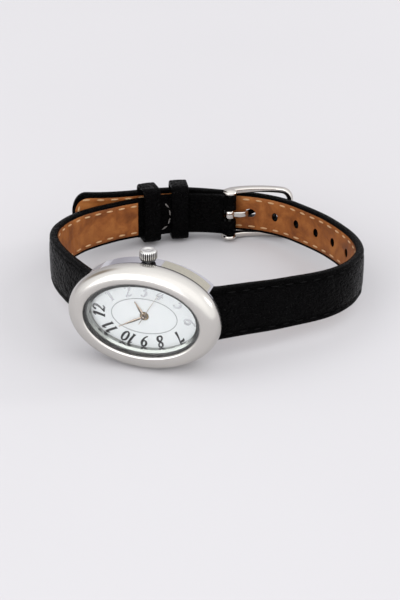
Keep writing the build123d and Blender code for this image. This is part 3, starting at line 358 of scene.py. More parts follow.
def numeralFinish(settings):
    # Raised polished figures with painted light: painted reflection of the sky makes the upper ones almost vanish,
    # painted shade makes the lower ones black
    tree, shader = startFinish("numeralMetal", settings["low"], 1.0, 0.1)
    place = addNode(tree, "ShaderNodeSeparateXYZ", Vector=millimetres(tree)).outputs
    height = mathOf(tree, "ADD", place["Z"], mathOf(tree, "MULTIPLY", place["X"], settings["tilt"]))
    centre = (handCentre.z + handCentre.x * settings["tilt"]) * 1000
    above = mathOf(tree, "DIVIDE", mathOf(tree, "SUBTRACT", height, centre), settings["reach"])
    stops = (settings["lowAt"], settings["low"]), (settings["highAt"], settings["high"])
    paint(tree, shader, rampOf(tree, mathOf(tree, "ADD", above, 0.5), stops))
    addBump(tree, shader, noiseOf(tree, millimetres(tree), 3.0, 2), 0.02)


def crystalFinish():
    finish = bpy.data.materials.new("crystalGlass")
    finish.use_nodes = True
    tree = finish.node_tree
    tree.nodes.remove(tree.nodes["Principled BSDF"])
    clear = addNode(tree, "ShaderNodeBsdfTransparent", {"Color": (0.985, 0.992, 0.99, 1)})
    gloss = addNode(tree, "ShaderNodeBsdfGlossy", {"Roughness": 0.02, "Color": (1, 1, 1, 1)})
    edge = addNode(tree, "ShaderNodeFresnel", {"IOR": 1.45})
    mixer = addNode(tree, "ShaderNodeMixShader")
    tree.links.new(edge.outputs["Fac"], mixer.inputs[0])
    tree.links.new(clear.outputs["BSDF"], mixer.inputs[1])
    tree.links.new(gloss.outputs["BSDF"], mixer.inputs[2])
    tree.links.new(mixer.outputs["Shader"], tree.nodes["Material Output"].inputs["Surface"])
    finishes["crystalGlass"] = finish


polishedSteel("bezelSteel", (0.59, 0.57, 0.54), (0.19, 0.24))
polishedSteel("buckleSteel", (0.62, 0.59, 0.555), (0.10, 0.17))
bandSteel(bandSettings)
crownSteel(fluteSettings)
brushedSteel("lidSteel", (0.70, 0.70, 0.71), (9, 9, 0.4))
brushedSteel("plateNickel", (0.66, 0.64, 0.58), (8, 0.5, 8))
brushedSteel("coilCopper", (0.70, 0.27, 0.10), (22, 0.6, 0.6), (0.22, 0.4))
blackLeather("blackStrap", "strapMap")
blackLeather("blackLoop")
tanLeather("tanLining", "strapMap")
threadFinish("creamThread", (0.60, 0.385, 0.20), (0.44, 0.24, 0.105))
threadFinish("blackThread", (0.006, 0.0058, 0.006), (0.002, 0.002, 0.002), 0.06, 0.0)
threadFinish("greyThread", (0.26, 0.24, 0.225), (0.09, 0.085, 0.08))
dialFinish()
numeralFinish(numeralSettings)
crystalFinish()
# name, colour, metal, roughness, grain, depth of the grain, spread of its tone
for values in (("dialPrint", (0.42, 0.42, 0.43), 0.0, 0.5, 9.0, 0.001),
               ("handGold", (0.74, 0.60, 0.49), 1.0, 0.24, 8.0, 0.002, 0.08),
               ("hubShade", (0.05, 0.045, 0.04), 1.0, 0.25, 8.0, 0.002),
               ("flangeGrey", (0.32, 0.33, 0.31), 1.0, 0.09, 5.0, 0.001),
               # black for the real gaskets and for the rings of painted shade
               ("sealAndShadeBlack", (0.012, 0.012, 0.012), 0.0, 0.5),
               ("holderPlastic", (0.70, 0.70, 0.66), 0.0, 0.45),
               ("wheelBrass", (0.62, 0.42, 0.14), 1.0, 0.25, 9.0),
               ("magnetGrey", (0.18, 0.18, 0.19), 1.0, 0.35),
               ("statorMetal", (0.42, 0.43, 0.45), 1.0, 0.3, 10.0),
               ("boardGreen", (0.012, 0.11, 0.045), 0.0, 0.35)):
    plainFinish(*values)
print("finishes made,", len(finishes))


# Small tools for shapes
weldReach = 0.0005                   # millimetres


def finishPiece(name, mesh, finish, body, replaced=(), sharp=38):
    # Turn the faces outwards, put the piece where the watch stands and hand it over
    bmesh.ops.recalc_face_normals(mesh, faces=mesh.faces)
    bmesh.ops.transform(mesh, matrix=watchFrame, verts=mesh.verts)
    shape = bpy.data.meshes.new(name)
    mesh.to_mesh(shape)
    mesh.free()
    shape.shade_smooth()
    shape.set_sharp_from_angle(angle=radians(sharp))
    shape.materials.append(finishes[finish])
    piece = bpy.data.objects.new(name, shape)
    scene.collection.objects.link(piece)
    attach(piece, body)
    if replaced:
        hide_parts(*replaced)
    print(name, len(shape.polygons), "faces")


def gridSheet(alongCount, aroundCount, place, flatPlace=None):
    # A grid bent to a closed shape: place gives the point for a share along and a share around
    mesh = bmesh.new()
    bmesh.ops.create_grid(mesh, x_segments=alongCount, y_segments=aroundCount, size=1)
    shares = {vert: ((vert.co.x + 1) / 2, (vert.co.y + 1) / 2) for vert in mesh.verts}
    if flatPlace:
        flatMap = mesh.loops.layers.uv.new("strapMap")
        for face in mesh.faces:
            for loop in face.loops:
                loop[flatMap].uv = flatPlace(*shares[loop.vert])
    for vert, (along, around) in shares.items():
        vert.co = place(along, around)
    bmesh.ops.remove_doubles(mesh, verts=mesh.verts, dist=weldReach)
    rims = [edge for edge in mesh.edges if edge.is_boundary]
    if rims:
        bmesh.ops.holes_fill(mesh, edges=rims, sides=0)
    return mesh


def spinSection(mesh, section, axis, steps):
    # Spin a closed section, given as (reach, level), round the axis
    verts = [mesh.verts.new(Vector((reach, 0, 0)) + Vector(axis) * level) for reach, level in section]
    edges = [mesh.edges.new(pair) for pair in zip(verts, verts[1:] + verts[:1])]
    bmesh.ops.spin(mesh, geom=verts + edges, cent=(0, 0, 0), axis=axis, angle=2 * pi, steps=steps,
                   use_merge=True, use_duplicate=False)


def roundedRectangle(first, second, radius, steps):
    # Points round it as (first way, second way, direction that they face)
    sides = enumerate(((1, 1), (-1, 1), (-1, -1), (1, -1)))
    return [(sideA * (first / 2 - radius) + radius * cos(turn),
             sideB * (second / 2 - radius) + radius * sin(turn), turn)
            for quarter, (sideA, sideB) in sides
            for turn in [pi / 2 * (quarter + step / steps) for step in range(steps + 1)]]


def smoothRoute(points, steps=30):
    # Rounded line through a few points, with the length up to each of its samples
    known = [Vector(point) for point in points]
    known = [known[0] * 2 - known[1]] + known + [known[-1] * 2 - known[-2]]
    path, lengths = [], [0.0]
    for before, start, end, after in zip(known, known[1:], known[2:], known[3:]):
        for step in range(steps):
            t = step / steps
            path.append((start * 2 + (end - before) * t + (before * 2 - start * 5 + end * 4 - after) * t * t
                         + (start * 3 - before - end * 3 + after) * t ** 3) / 2)
    path.append(known[-2])
    for first, second in zip(path, path[1:]):
        lengths.append(lengths[-1] + (second - first).length)
    return path, lengths


def alongRoute(route, distance):
    path, lengths = route
    index = min(max(bisect_right(lengths, distance) - 1, 0), len(path) - 2)
    step = path[index + 1] - path[index]
    point = path[index] + step * ((distance - lengths[index]) / (lengths[index + 1] - lengths[index]))
    run = path[min(index + 2, len(path) - 1)] - path[max(index - 1, 0)]
    return point, run.normalized()


# Bezel: one profile spun round and drawn out to an oval
bezelSettings = {
    "outer": (15.8, 11.1), "inner": (12.1, 7.85),       # half length and half height
    "back": 0.4, "front": -3.2, "segments": 192,
    # share of the breadth from the opening outwards, share of the depth forwards
    "dome": ((0.86, 0.0), (0.93, 0.012), (0.975, 0.045), (0.995, 0.10), (1.0, 0.17), (0.997, 0.24),
             (0.988, 0.33), (0.968, 0.45), (0.930, 0.575), (0.872, 0.69), (0.795, 0.79), (0.70, 0.868),
             (0.59, 0.925), (0.47, 0.965), (0.35, 0.988), (0.23, 1.0), (0.13, 1.0), (0.06, 0.985),
             (0.018, 0.955), (0.0, 0.91), (0.0, 0.74)),
    "pocket": (12.9, 8.65), "pocketFront": -3.0,
    # black ring behind the glass's edge, painted shade seen as a line round the opening
    "line": {"outer": (12.3, 8.05), "inner": (11.58, 7.36), "level": -2.125, "thickness": 0.02},
    # black ring in the gap between the bezel and the band behind it, painted shade of that gap
    "joint": {"outer": (15.38, 10.78), "inner": (14.85, 10.25), "level": 0.72, "thickness": 0.62},
}


def makeBezel(settings):
    mesh = bmesh.new()
    depth = settings["front"] - settings["back"]
    profile = [(share, settings["back"] + depth * forward) for share, forward in settings["dome"]]
    profile += [(0.0, settings["pocketFront"]), (-1.0, settings["pocketFront"]), (-1.0, settings["back"])]
    spinSection(mesh, [(2 + share, level) for share, level in profile], (0, 1, 0), settings["segments"])
    bmesh.ops.remove_doubles(mesh, verts=mesh.verts, dist=weldReach / 50)
    for vert in mesh.verts:
        share = hypot(vert.co.x, vert.co.z) - 2
        turn = atan2(vert.co.z, vert.co.x)
        reach = settings["pocket"]
        if share > -0.5:
            reach = [inner + (outer - inner) * share
                     for inner, outer in zip(settings["inner"], settings["outer"])]
        vert.co = (reach[0] * cos(turn), vert.co.y, reach[1] * sin(turn))
    finishPiece("bezelRing", mesh, "bezelSteel", "watch", ["bezel"], 50)


def makeShadeRing(name, settings):
    # Black ring that stands in for painted shade in a gap round the bezel
    mesh = bmesh.new()
    corners = ("inner", -0.5), ("inner", 0.5), ("outer", 0.5), ("outer", -0.5)
    section = [(1 + index, 0) for index in range(len(corners))]
    spinSection(mesh, section, (0, 1, 0), bezelSettings["segments"])
    for vert in mesh.verts:
        reach, level = corners[int(hypot(vert.co.x, vert.co.z) - 0.5)]
        turn = atan2(vert.co.z, vert.co.x)
        wide, high = settings[reach]
        vert.co = (wide * cos(turn), settings["level"] + level * settings["thickness"], high * sin(turn))
    finishPiece(name, mesh, "sealAndShadeBlack", "watch", (), 30)


makeBezel(bezelSettings)
makeShadeRing("glassEdgeShade", bezelSettings["line"])
makeShadeRing("bezelGapShade", bezelSettings["joint"])


# Crown: fluted cap with a dished top, and a black ring under it that is painted shade of the gap below the crown
crownSettings = {
    "radius": 1.8, "base": 11.1, "top": 13.25, "depth": 2.3, "flutes": 26, "fluteDepth": 0.20, "perFlute": 8,
    "pip": 0.93, "bore": 1.1, "boreHeight": 1.0, "shadeRingRadius": 1.55, "shadeRingOverlap": 0.05, "skirt": 0.34,
    # share of the height, inset from the radius, share of the flute's depth
    "levels": ((0.0, 0.10, 0.6), (0.03, 0.02, 0.9), (0.10, 0.0, 1.0), (0.64, 0.0, 1.0), (0.72, 0.0, 0.85),
               (0.80, 0.03, 0.45), (0.87, 0.09, 0.12), (0.93, 0.20, 0.0), (0.975, 0.36, 0.0),
               (1.0, 0.56, 0.0), (0.995, 0.72, 0.0), (0.95, 0.90, 0.0), (0.90, 1.06, 0.0),
               (0.885, 1.24, 0.0), (0.90, 1.46, 0.0)),
}


def makeCrown(settings):
    mesh = bmesh.new()
    groove = mesh.verts.layers.float.new("groove")
    circle = bmesh.ops.create_circle(mesh, segments=settings["flutes"] * settings["perFlute"],
                                     radius=settings["radius"], cap_ends=False)
    rings = [circle["verts"]]
    loop = list(mesh.edges)
    for _ in settings["levels"][1:]:
        grown = bmesh.ops.extrude_edge_only(mesh, edges=loop)["geom"]
        rings.append([part for part in grown if isinstance(part, bmesh.types.BMVert)])
        fresh = set(rings[-1])
        loop = [part for part in grown
                if isinstance(part, bmesh.types.BMEdge) and fresh.issuperset(part.verts)]
    low = settings["base"] + settings["skirt"]
    height = settings["top"] - low
    for ring, (rise, inset, flute) in zip(rings, settings["levels"]):
        for vert in ring:
            turn = atan2(vert.co.y, vert.co.x)
            notch = (0.5 - 0.5 * cos(turn * settings["flutes"])) ** 1.5 * flute
            reach = settings["radius"] - inset - notch * settings["fluteDepth"]
            vert[groove] = notch
            vert.co = (reach * cos(turn), settings["depth"] + reach * sin(turn), low + height * rise)
    bmesh.ops.holes_fill(mesh, edges=[edge for edge in mesh.edges if edge.is_boundary], sides=0)
    fans = bmesh.ops.poke(mesh, faces=[face for face in mesh.faces if len(face.verts) > 4])
    centre = max(fans["verts"], key=lambda vert: vert.co.z)
    centre.co.z = low + height * settings["pip"]     # small pip in the dish
    bore = bmesh.new()
    bmesh.ops.create_cone(bore, segments=48, radius1=settings["bore"], radius2=settings["bore"],
                          depth=settings["boreHeight"] * 2, cap_ends=True,
                          matrix=Matrix.Translation((0, settings["depth"], settings["base"])))
    finishPiece("crownCap", carve(mesh, bore), "crownSteel", "crown", ["crown"], 40)


def makeCrownShadeRing(settings):
    # black ring under the crown: painted shade of the gap between the crown and the band
    shadeRing = bmesh.new()                       # open through for the stem
    outer, inner, top = settings["shadeRingRadius"], settings["bore"], settings["skirt"] + settings["shadeRingOverlap"]
    spinSection(shadeRing, ((outer, 0), (outer, top), (inner, top), (inner, 0)), (0, 0, 1), 64)
    bmesh.ops.translate(shadeRing, verts=shadeRing.verts, vec=(0, settings["depth"], settings["base"]))
    finishPiece("crownShadeRing", shadeRing, "sealAndShadeBlack", "crown", (), 30)


def carve(mesh, cutter):
    # Take one closed shape out of another
    made = []
    for name, shape in (("carved", mesh), ("cutter", cutter)):
        bmesh.ops.recalc_face_normals(shape, faces=shape.faces)
        data = bpy.data.meshes.new(name)
        shape.to_mesh(data)
        shape.free()
        made.append(bpy.data.objects.new(name, data))
        scene.collection.objects.link(made[-1])
    taking = made[0].modifiers.new("taking", "BOOLEAN")
    taking.object = made[1]
    taking.operation = "DIFFERENCE"
    taking.solver = "EXACT"
    graph = bpy.context.evaluated_depsgraph_get()
    result = bmesh.new()
    result.from_object(made[0], graph)
    for piece in made:
        data = piece.data
        bpy.data.objects.remove(piece)
        bpy.data.meshes.remove(data)
    bmesh.ops.triangulate(result, faces=[face for face in result.faces if len(face.verts) > 4])
    return result


makeCrown(crownSettings)
makeCrownShadeRing(crownSettings)


# Hands: slim blades with a ridge down the middle
handSettings = {
    "shown": (1, 55, 20),                # hour, minute, second
    "thickness": 0.12, "ridge": 0.09, "ridgeInset": 0.82, "blade": 0.55, "hubTop": 0.82,
    "hour": {"length": 3.6, "width": 0.62, "tail": 0.0, "front": -0.86, "hub": 0.72, "widest": 0.4},
    "minute": {"length": 5.9, "width": 0.50, "tail": 0.0, "front": -1.10, "hub": 0.5, "widest": 0.4},
    "seconds": {"length": 6.0, "width": 0.17, "tail": 1.9, "front": -1.34, "hub": 0.42, "widest": 0.1},
    "hubShadeSizes": {"inner": 0.22, "outer": 0.40, "rise": 0.03, "sink": 0.02},
}


def makeHand(kind, turnShare, settings):
    sizes = settings[kind]
    mesh = bmesh.new()
    length, half, tail = sizes["length"], sizes["width"] / 2, sizes["tail"]
    widest = length * sizes["widest"]
    outline = [(-tail, half * 0.8), (widest * 0.25, half * 0.72), (widest, half), (length, half * 0.14)]
    outline += [(along, -across) for along, across in reversed(outline)]
    blade = mesh.faces.new([mesh.verts.new((along, 0, across)) for along, across in outline])
    grown = bmesh.ops.extrude_face_region(mesh, geom=[blade])["geom"]
    front = [part for part in grown if isinstance(part, bmesh.types.BMVert)]
    bmesh.ops.translate(mesh, verts=front, vec=(0, -settings["thickness"] * settings["blade"], 0))
    face = next(part for part in grown if isinstance(part, bmesh.types.BMFace))
    bmesh.ops.inset_individual(mesh, faces=[face], thickness=half * settings["ridgeInset"], depth=0,
                               use_even_offset=False)
    for vert in face.verts:
        vert.co.y -= settings["ridge"]
    bmesh.ops.create_cone(mesh, segments=48, radius1=sizes["hub"], radius2=sizes["hub"] * settings["hubTop"],
                          depth=settings["thickness"], cap_ends=True,
                          matrix=Matrix.Translation((0, -settings["thickness"] / 2, 0))
                          @ Matrix.Rotation(pi / 2, 4, "X"))
    bmesh.ops.rotate(mesh, verts=mesh.verts, cent=(0, 0, 0),
                     matrix=Matrix.Rotation(-radians(180 - 360 * turnShare), 3, "Y"))
    bmesh.ops.translate(mesh, verts=mesh.verts, vec=(0, sizes["front"] + settings["thickness"], 0))
    node = kind + "_hand"
    finishPiece(kind + "Blade", mesh, "handGold", handBody(node), [node], 20)


def makeHubShadeRing(settings):
    # Dark ring punched round the pin of the seconds hand, painted shade of the gap at the hub
    mesh = bmesh.new()
    inner, outer = settings["hubShadeSizes"]["inner"], settings["hubShadeSizes"]["outer"]
    level = settings["seconds"]["front"]
    back, front = level + settings["hubShadeSizes"]["sink"], level - settings["hubShadeSizes"]["rise"]
    spinSection(mesh, ((inner, back), (inner, front), (outer, front), (outer, back)), (0, 1, 0), 40)
    finishPiece("secondsHubShade", mesh, "hubShade", handBody("seconds_hand"), (), 30)


def handBody(node):
    return next(body for body, members in frame["record"]["behaviour"]["bodies"].items() if node in members)


shownHour, shownMinute, shownSecond = handSettings["shown"]
minuteShare = (shownMinute + shownSecond / 60) / 60
makeHand("hour", (shownHour + minuteShare) / 12, handSettings)
makeHand("minute", minuteShare, handSettings)
makeHand("seconds", shownSecond / 60, handSettings)
makeHubShadeRing(handSettings)
print("head dressed")


# Strap: every layer is laid flat in millimetres (along, across, out), then bent round the loop
routePoints = {
    "twelve": ((-11.8, 3.6), (-19.2, 10.38), (-22.69, 14.09), (-25.2, 17.28), (-27.19, 20.82), (-28.09, 24.3),
               (-28.2, 27.2), (-27.6, 30.97), (-26.21, 34.92), (-24.19, 38.22), (-22.01, 41.01),
               (-19.69, 43.62), (-16.99, 46.11), (-13.99, 48.37), (-10.99, 50.52), (-8.4, 51.91),
               (-4.99, 53.19), (-1.01, 54.0), (2.59, 54.29)),
    "six": ((11.8, 3.6), (18.11, 8.29), (22.99, 11.72), (27.0, 15.02), (30.0, 17.57), (32.4, 20.01),
            (34.39, 22.91), (35.81, 26.22), (36.49, 29.58), (36.6, 33.0), (35.4, 37.12), (33.0, 41.53),
            (29.7, 45.47), (25.99, 49.01), (22.61, 51.5), (19.31, 53.59), (16.09, 55.39), (12.41, 56.67),
            (8.1, 57.3), (2.59, 56.96), (-4.49, 55.44), (-9.03, 53.88), (-13.22, 51.48), (-16.23, 49.27),
            (-18.97, 47.12), (-21.6, 45.3), (-24.71, 43.5), (-27.9, 42.11), (-30.6, 41.3)),
}
routes = {name: smoothRoute(points) for name, points in routePoints.items()}
outwards = {"twelve": -1, "six": 1}

strapSettings = {
    "lugWidth": 11.5, "buckleWidth": 9.3, "taperFrom": 5.0, "taperTo": 42.0,
    "eyeRadius": 1.45, "eyeBore": 0.75, "eyeFlare": 3.2, "eyeSeam": 0.02, "boreLength": 14,
    "pinBore": 0.6, "notch": (3.0, 2.6, 4.0),            # at the buckle, with room for the prong
    "halfThickness": 0.9, "tailRound": 3.2, "rimRound": 0.6,
    # distance from the edge and height of the outer face, then of the inner face
    "outerFace": ((0.0, 0.0), (0.02, 0.30), (0.09, 0.55), (0.24, 0.72), (0.48, 0.80), (0.78, 0.80),
                  (1.02, 0.74), (1.20, 0.74), (1.42, 0.81), (1.8, 0.88), (2.4, 0.93)),
    "innerFace": ((0.02, -0.34), (0.08, -0.62), (0.20, -0.85), (0.36, -0.95), (0.56, -0.96), (0.74, -0.80)),
    "outerMiddle": 9, "innerMiddle": 5, "crown": 0.03, "step": 0.42, "girth": 26,
    "swell": 0.05, "swellFrom": 0.6,                     # uneven padding of the outer face
    # beyond the buckle the tail climbs a little above the piece it lies on
    "climbFrom": 2.5875, "tailRise": 1.9, "tailReach": 33.2,
}


def halfWidth(route, along):
    start, end = strapSettings["taperFrom"], strapSettings["taperTo"]
    share = min(max((alongRoute(route, along)[0].y - start) / (end - start), 0.0), 1.0)
    wide, narrow = strapSettings["lugWidth"], strapSettings["buckleWidth"]
    return (wide + (narrow - wide) * share) / 2


def strapSection(half):
    # Closed section of the black leather as (across, out)
    outer, inner = strapSettings["outerFace"], strapSettings["innerFace"]
    ring = [(half - inset, out) for inset, out in outer]
    reach, height = ring[-1]
    middle = strapSettings["outerMiddle"] + 1
    for share in [index / middle for index in range(1, middle)]:
        ring.append((reach * (1 - 2 * share), height + strapSettings["crown"] * sin(pi * share)))
    ring += [(inset - half, out) for inset, out in reversed(outer)]
    ring += [(inset - half, out) for inset, out in inner]
    reach = half - inner[-1][0]
    middle = strapSettings["innerMiddle"] + 1
    ring += [(reach * (2 * index / middle - 1), inner[-1][1]) for index in range(1, middle)]
    ring += [(half - inset, out) for inset, out in reversed(inner)]
    return ring + ring[:1]


def tailWidth(along, end):
    # Share of the width that is left where the tip rounds off
    past = max(along - end + strapSettings["tailRound"], 0) / strapSettings["tailRound"]
    return sqrt(max(1 - past ** 2, 0.0004))


def endShape(along, length, kind):
    # How the section is squeezed in width and thickness near the ends of a strap piece
    wide, thick = 1.0, 1.0
    eye, flare, rim = (strapSettings[key] for key in ("eyeRadius", "eyeFlare", "rimRound"))
    swollen = eye / strapSettings["halfThickness"]
    for end in [along] if kind == "tail" else [along, length - along]:
        if end < 0:
            thick = swollen * sqrt(max(1 - (end / eye) ** 2, 0.02))
        elif end < flare:
            thick = 1 + (swollen - 1) * (0.5 + 0.5 * cos(pi * end / flare))
    if kind == "tail":
        wide = tailWidth(along, length)
        past = (along - length + rim) / rim
        if past > 0:
            thick = 0.25 + 0.75 * sqrt(max(1 - past ** 2, 0))
    return wide, thick


def ringMarks(start, end, count, rounded):
    # Places of the rings along the leather, crowded together where the tip rounds off
    marks = [start + (end - start) * index / count for index in range(count + 1)]
    bend = strapSettings["tailRound"]
    if rounded:
        marks = [mark if mark < end - bend else end - bend + bend * sin(pi / 2 * (mark - end + bend) / bend)
                 for mark in marks]
    return marks


def onFlatMap(start, end, girth):
    # The leather's own flat map, from 2 mm before the spring bar
    return lambda along, around: ((start + (end - start) * along + 2) / mapReach, around * girth / mapReach)


def flatLeather(name, start, end, kind):
    route = routes[name]
    length = route[1][-1]
    count = int((end - start) / strapSettings["step"])
    rounds = len(strapSection(halfWidth(route, start))) - 1
    marks = ringMarks(start, end, count, kind == "tail")

    def place(alongShare, aroundShare):
        along = marks[round(alongShare * count)]
        wide, thick = endShape(along, length, kind)
        across, out = strapSection(halfWidth(route, along))[round(aroundShare * rounds)]
        swell = noise.noise(Vector((along * 0.22, across * 0.3, 3.1)))
        swell += 0.7 * noise.noise(Vector((along * 0.62 + across * 0.25, across * 0.30, 8.7)))
        padding = strapSettings["swell"] * swell if out > strapSettings["swellFrom"] else 0.0
        return along, across * wide, out * thick + padding

    return gridSheet(count, rounds, place, onFlatMap(start, end, strapSettings["girth"]))


def layOnLoop(mesh, name):
    route, outward = routes[name], outwards[name]
    slope = strapSettings["tailRise"] / strapSettings["tailReach"] if name == "six" else 0
    for vert in mesh.verts:
        along, across, out = vert.co
        point, run = alongRoute(route, along)
        x = point.x + outward * run.y * out
        climb = slope * max(strapSettings["climbFrom"] - x, 0)
        vert.co = (x, point.y - outward * run.x * out, across + climb)


def cylinderCut(cutter, centre, size, across=False):
    turn = Matrix.Rotation(pi / 2, 4, "X") if across else Matrix.Identity(4)
    bmesh.ops.create_cone(cutter, segments=36, radius1=0.5, radius2=0.5, depth=1, cap_ends=True,
                          matrix=Matrix.Translation(centre) @ Matrix.Diagonal((*size, 1)) @ turn)


def boreAcross(cutter, along, radius):
    cylinderCut(cutter, (along, 0, 0), (radius * 2, strapSettings["boreLength"], radius * 2), True)


holeSettings = {
    "prongHole": 81.35, "pitch": 6.3, "towardsLug": 5, "towardsTail": 2,
    "size": (1.6, 2.05), "prongSize": (2.6, 2.05), "narrow": 0.8, "through": 4,
}


def punchStrap(mesh, narrow=1.0, withEye=True):
    # Buckle holes of the six o'clock piece and the eye for its spring bar
    cutter = bmesh.new()
    for index in range(-holeSettings["towardsLug"], holeSettings["towardsTail"] + 1):
        size = [part * narrow for part in holeSettings["size"]] if index else holeSettings["prongSize"]
        centre = (holeSettings["prongHole"] + holeSettings["pitch"] * index, 0, 0)
        cylinderCut(cutter, centre, (*size, holeSettings["through"]))
    if withEye:
        boreAcross(cutter, 0, strapSettings["eyeBore"])
    return carve(mesh, cutter)


def makeSixLeather():
    start = strapSettings["eyeSeam"] - strapSettings["eyeRadius"]
    mesh = flatLeather("six", start, routes["six"][1][-1], "tail")
    mesh = punchStrap(mesh, holeSettings["narrow"])
    layOnLoop(mesh, "six")
    finishPiece("strapSixLeather", mesh, "blackStrap", "watch", ["strap_6_leather", "strap_6_core"],
                42)


def makeTwelveLeather():
    length = routes["twelve"][1][-1]
    start = strapSettings["eyeSeam"] - strapSettings["eyeRadius"]
    mesh = flatLeather("twelve", start, length - start, "eyes")
    cutter = bmesh.new()
    boreAcross(cutter, 0, strapSettings["eyeBore"])
    boreAcross(cutter, length, strapSettings["pinBore"])
    mesh = carve(mesh, cutter)
    notch = bmesh.new()                      # room for the prong in the buckle end
    bmesh.ops.create_cube(notch, size=1, matrix=Matrix.Translation((length, 0, 0))
                          @ Matrix.Diagonal((*strapSettings["notch"], 1)))
    mesh = carve(mesh, notch)
    layOnLoop(mesh, "twelve")
    finishPiece("strapTwelveLeather", mesh, "blackStrap", "watch", ["strap_12_leather", "strap_12_core"],
                42)


makeSixLeather()
makeTwelveLeather()

# Tan lining, set in from the black edges, and the black fold at the twelve o'clock end
liningSettings = {
    "start": 3.5, "tailShort": 0.75, "twelveEnd": 52.6, "foldFrom": 52.4, "foldTo": 72.2,
    "step": 0.4, "across": 12, "girth": 12,
    # set in from the edges, from the hidden top to the face
    "lining": {"inset": 0.62, "top": -0.70, "face": -0.95, "rounding": 0.16, "crown": 0.0},
    "fold": {"inset": 0.0, "top": -0.55, "face": -1.0, "rounding": 0.3, "crown": 0.05},
    "wrinkleAt": 30.0, "wrinkleReach": 8.0, "wrinkleDepth": 0.22, "softDepth": 0.02,
    # beyond the buckle the lining draws back from the edges
    "drawFrom": 86.0, "drawOver": 4.0, "draw": 0.35,
}


def slipUnder(along):
    share = (along - liningSettings["drawFrom"]) / liningSettings["drawOver"]
    return liningSettings["draw"] * min(max(share, 0), 1)


def flatStrip(name, start, end, kind, tail):
    # Thin strip with rounded edges on the inner side of the strap
    route = routes[name]
    inset, top, face, rounding, crown = (liningSettings[kind][key]
                                         for key in ("inset", "top", "face", "rounding", "crown"))
    count = int((end - start) / liningSettings["step"])
    across = liningSettings["across"]
    marks = ringMarks(start, end, count, tail)
    # one edge, as distance from it and height
    edge = ((0, top), (0.02, face + rounding), (rounding, face + rounding * 0.2))

    def place(alongShare, aroundShare):
        along = marks[round(alongShare * count)]
        half = halfWidth(route, along) - inset - (slipUnder(along) if tail else 0)
        index = round(aroundShare * (across + 6)) % (across + 6)
        if index < 3:
            side, out = half - edge[index][0], edge[index][1]
        elif index < across + 3:
            share = (index - 2) / (across + 1)
            side, out = (half - rounding) * (1 - 2 * share), face - crown * sin(pi * share)
        else:
            step = across + 5 - index
            side, out = edge[step][0] - half, edge[step][1]
        if kind == "lining" and out < face + rounding:
            near = exp(-((along - liningSettings["wrinkleAt"]) / liningSettings["wrinkleReach"]) ** 2)
            wave = noise.noise(Vector((along * 1.15 + 0.5 * sin(side * 0.5), side * 0.14, 5.3)))
            soft = noise.noise(Vector((along * 0.3, side * 0.35, 1.7)))
            out += liningSettings["wrinkleDepth"] * near * wave + liningSettings["softDepth"] * soft
        return along, side * (tailWidth(along, end) if tail else 1.0), out

    return gridSheet(count, across + 6, place, onFlatMap(start, end, liningSettings["girth"]))


def makeLining(piece, name, start, end, kind, finish, node, tail=False):
    mesh = flatStrip(name, start, end, kind, tail)
    if tail:
        mesh = punchStrap(mesh, withEye=False)
    layOnLoop(mesh, name)
    finishPiece(piece, mesh, finish, "watch", [node], 42)


makeLining("strapSixLining", "six", liningSettings["start"],
           routes["six"][1][-1] - liningSettings["tailShort"], "lining", "tanLining",
           "strap_6_lining", True)
makeLining("strapTwelveLining", "twelve", liningSettings["start"], liningSettings["twelveEnd"], "lining",
           "tanLining", "strap_12_lining")
makeLining("strapTwelveFold", "twelve", liningSettings["foldFrom"], liningSettings["foldTo"], "fold",
           "blackStrap", "strap_12_fold")

# Seams: one run of thread along each edge, seen on both faces
seamSettings = {
    "pitch": 3.1, "start": 3.0, "tailShort": 0.1, "lineStep": 0.25, "tipSteps": 24, "flat": 0.62,
    "unevenLean": 0.10, "unevenDash": 0.14,
    # for each face: inset from the edge, height, and length and half width of a stitch
    "Inside": {"inset": 1.42, "out": -0.95, "dash": 1.65, "radius": 0.22, "twelveEnd": 51.6,
               "finish": "creamThread", "slot": "leather_tan"},
    "Outside": {"inset": 1.12, "out": 0.76, "dash": 1.7, "radius": 0.15, "twelveEnd": 70.5,
                "finish": "blackThread", "slot": "leather_black"},
    # curved tack on the folded end, between the two loops
    "tack": {"at": 58.1, "deep": 2.0, "wide": 3.1, "reach": 88, "step": 4, "out": -1.06, "pitch": 2.0,
             "dash": 1.45, "radius": 0.18, "phase": 0.3},
}


def seamLine(name, start, end, inset, tail=False):
    # Points (along, across) down one side, round the tail if it has one, and back up the other
    stop = end - strapSettings["tailRound"] if tail else end
    count = int((stop - start) / seamSettings["lineStep"])
    marks = [start + (stop - start) * index / count for index in range(count + 1)]
    side = [(mark, halfWidth(routes[name], mark) - inset) for mark in marks]
    if not tail:
        return [side, [(along, -across) for along, across in side]]
    reach, half, steps = strapSettings["tailRound"] - inset, side[-1][1], seamSettings["tipSteps"]
    turns = [pi * index / steps for index in range(1, steps)]
    tip = [(stop + reach * sin(turn), half * cos(turn)) for turn in turns]
    return [side + tip + [(along, -across) for along, across in reversed(side)]]


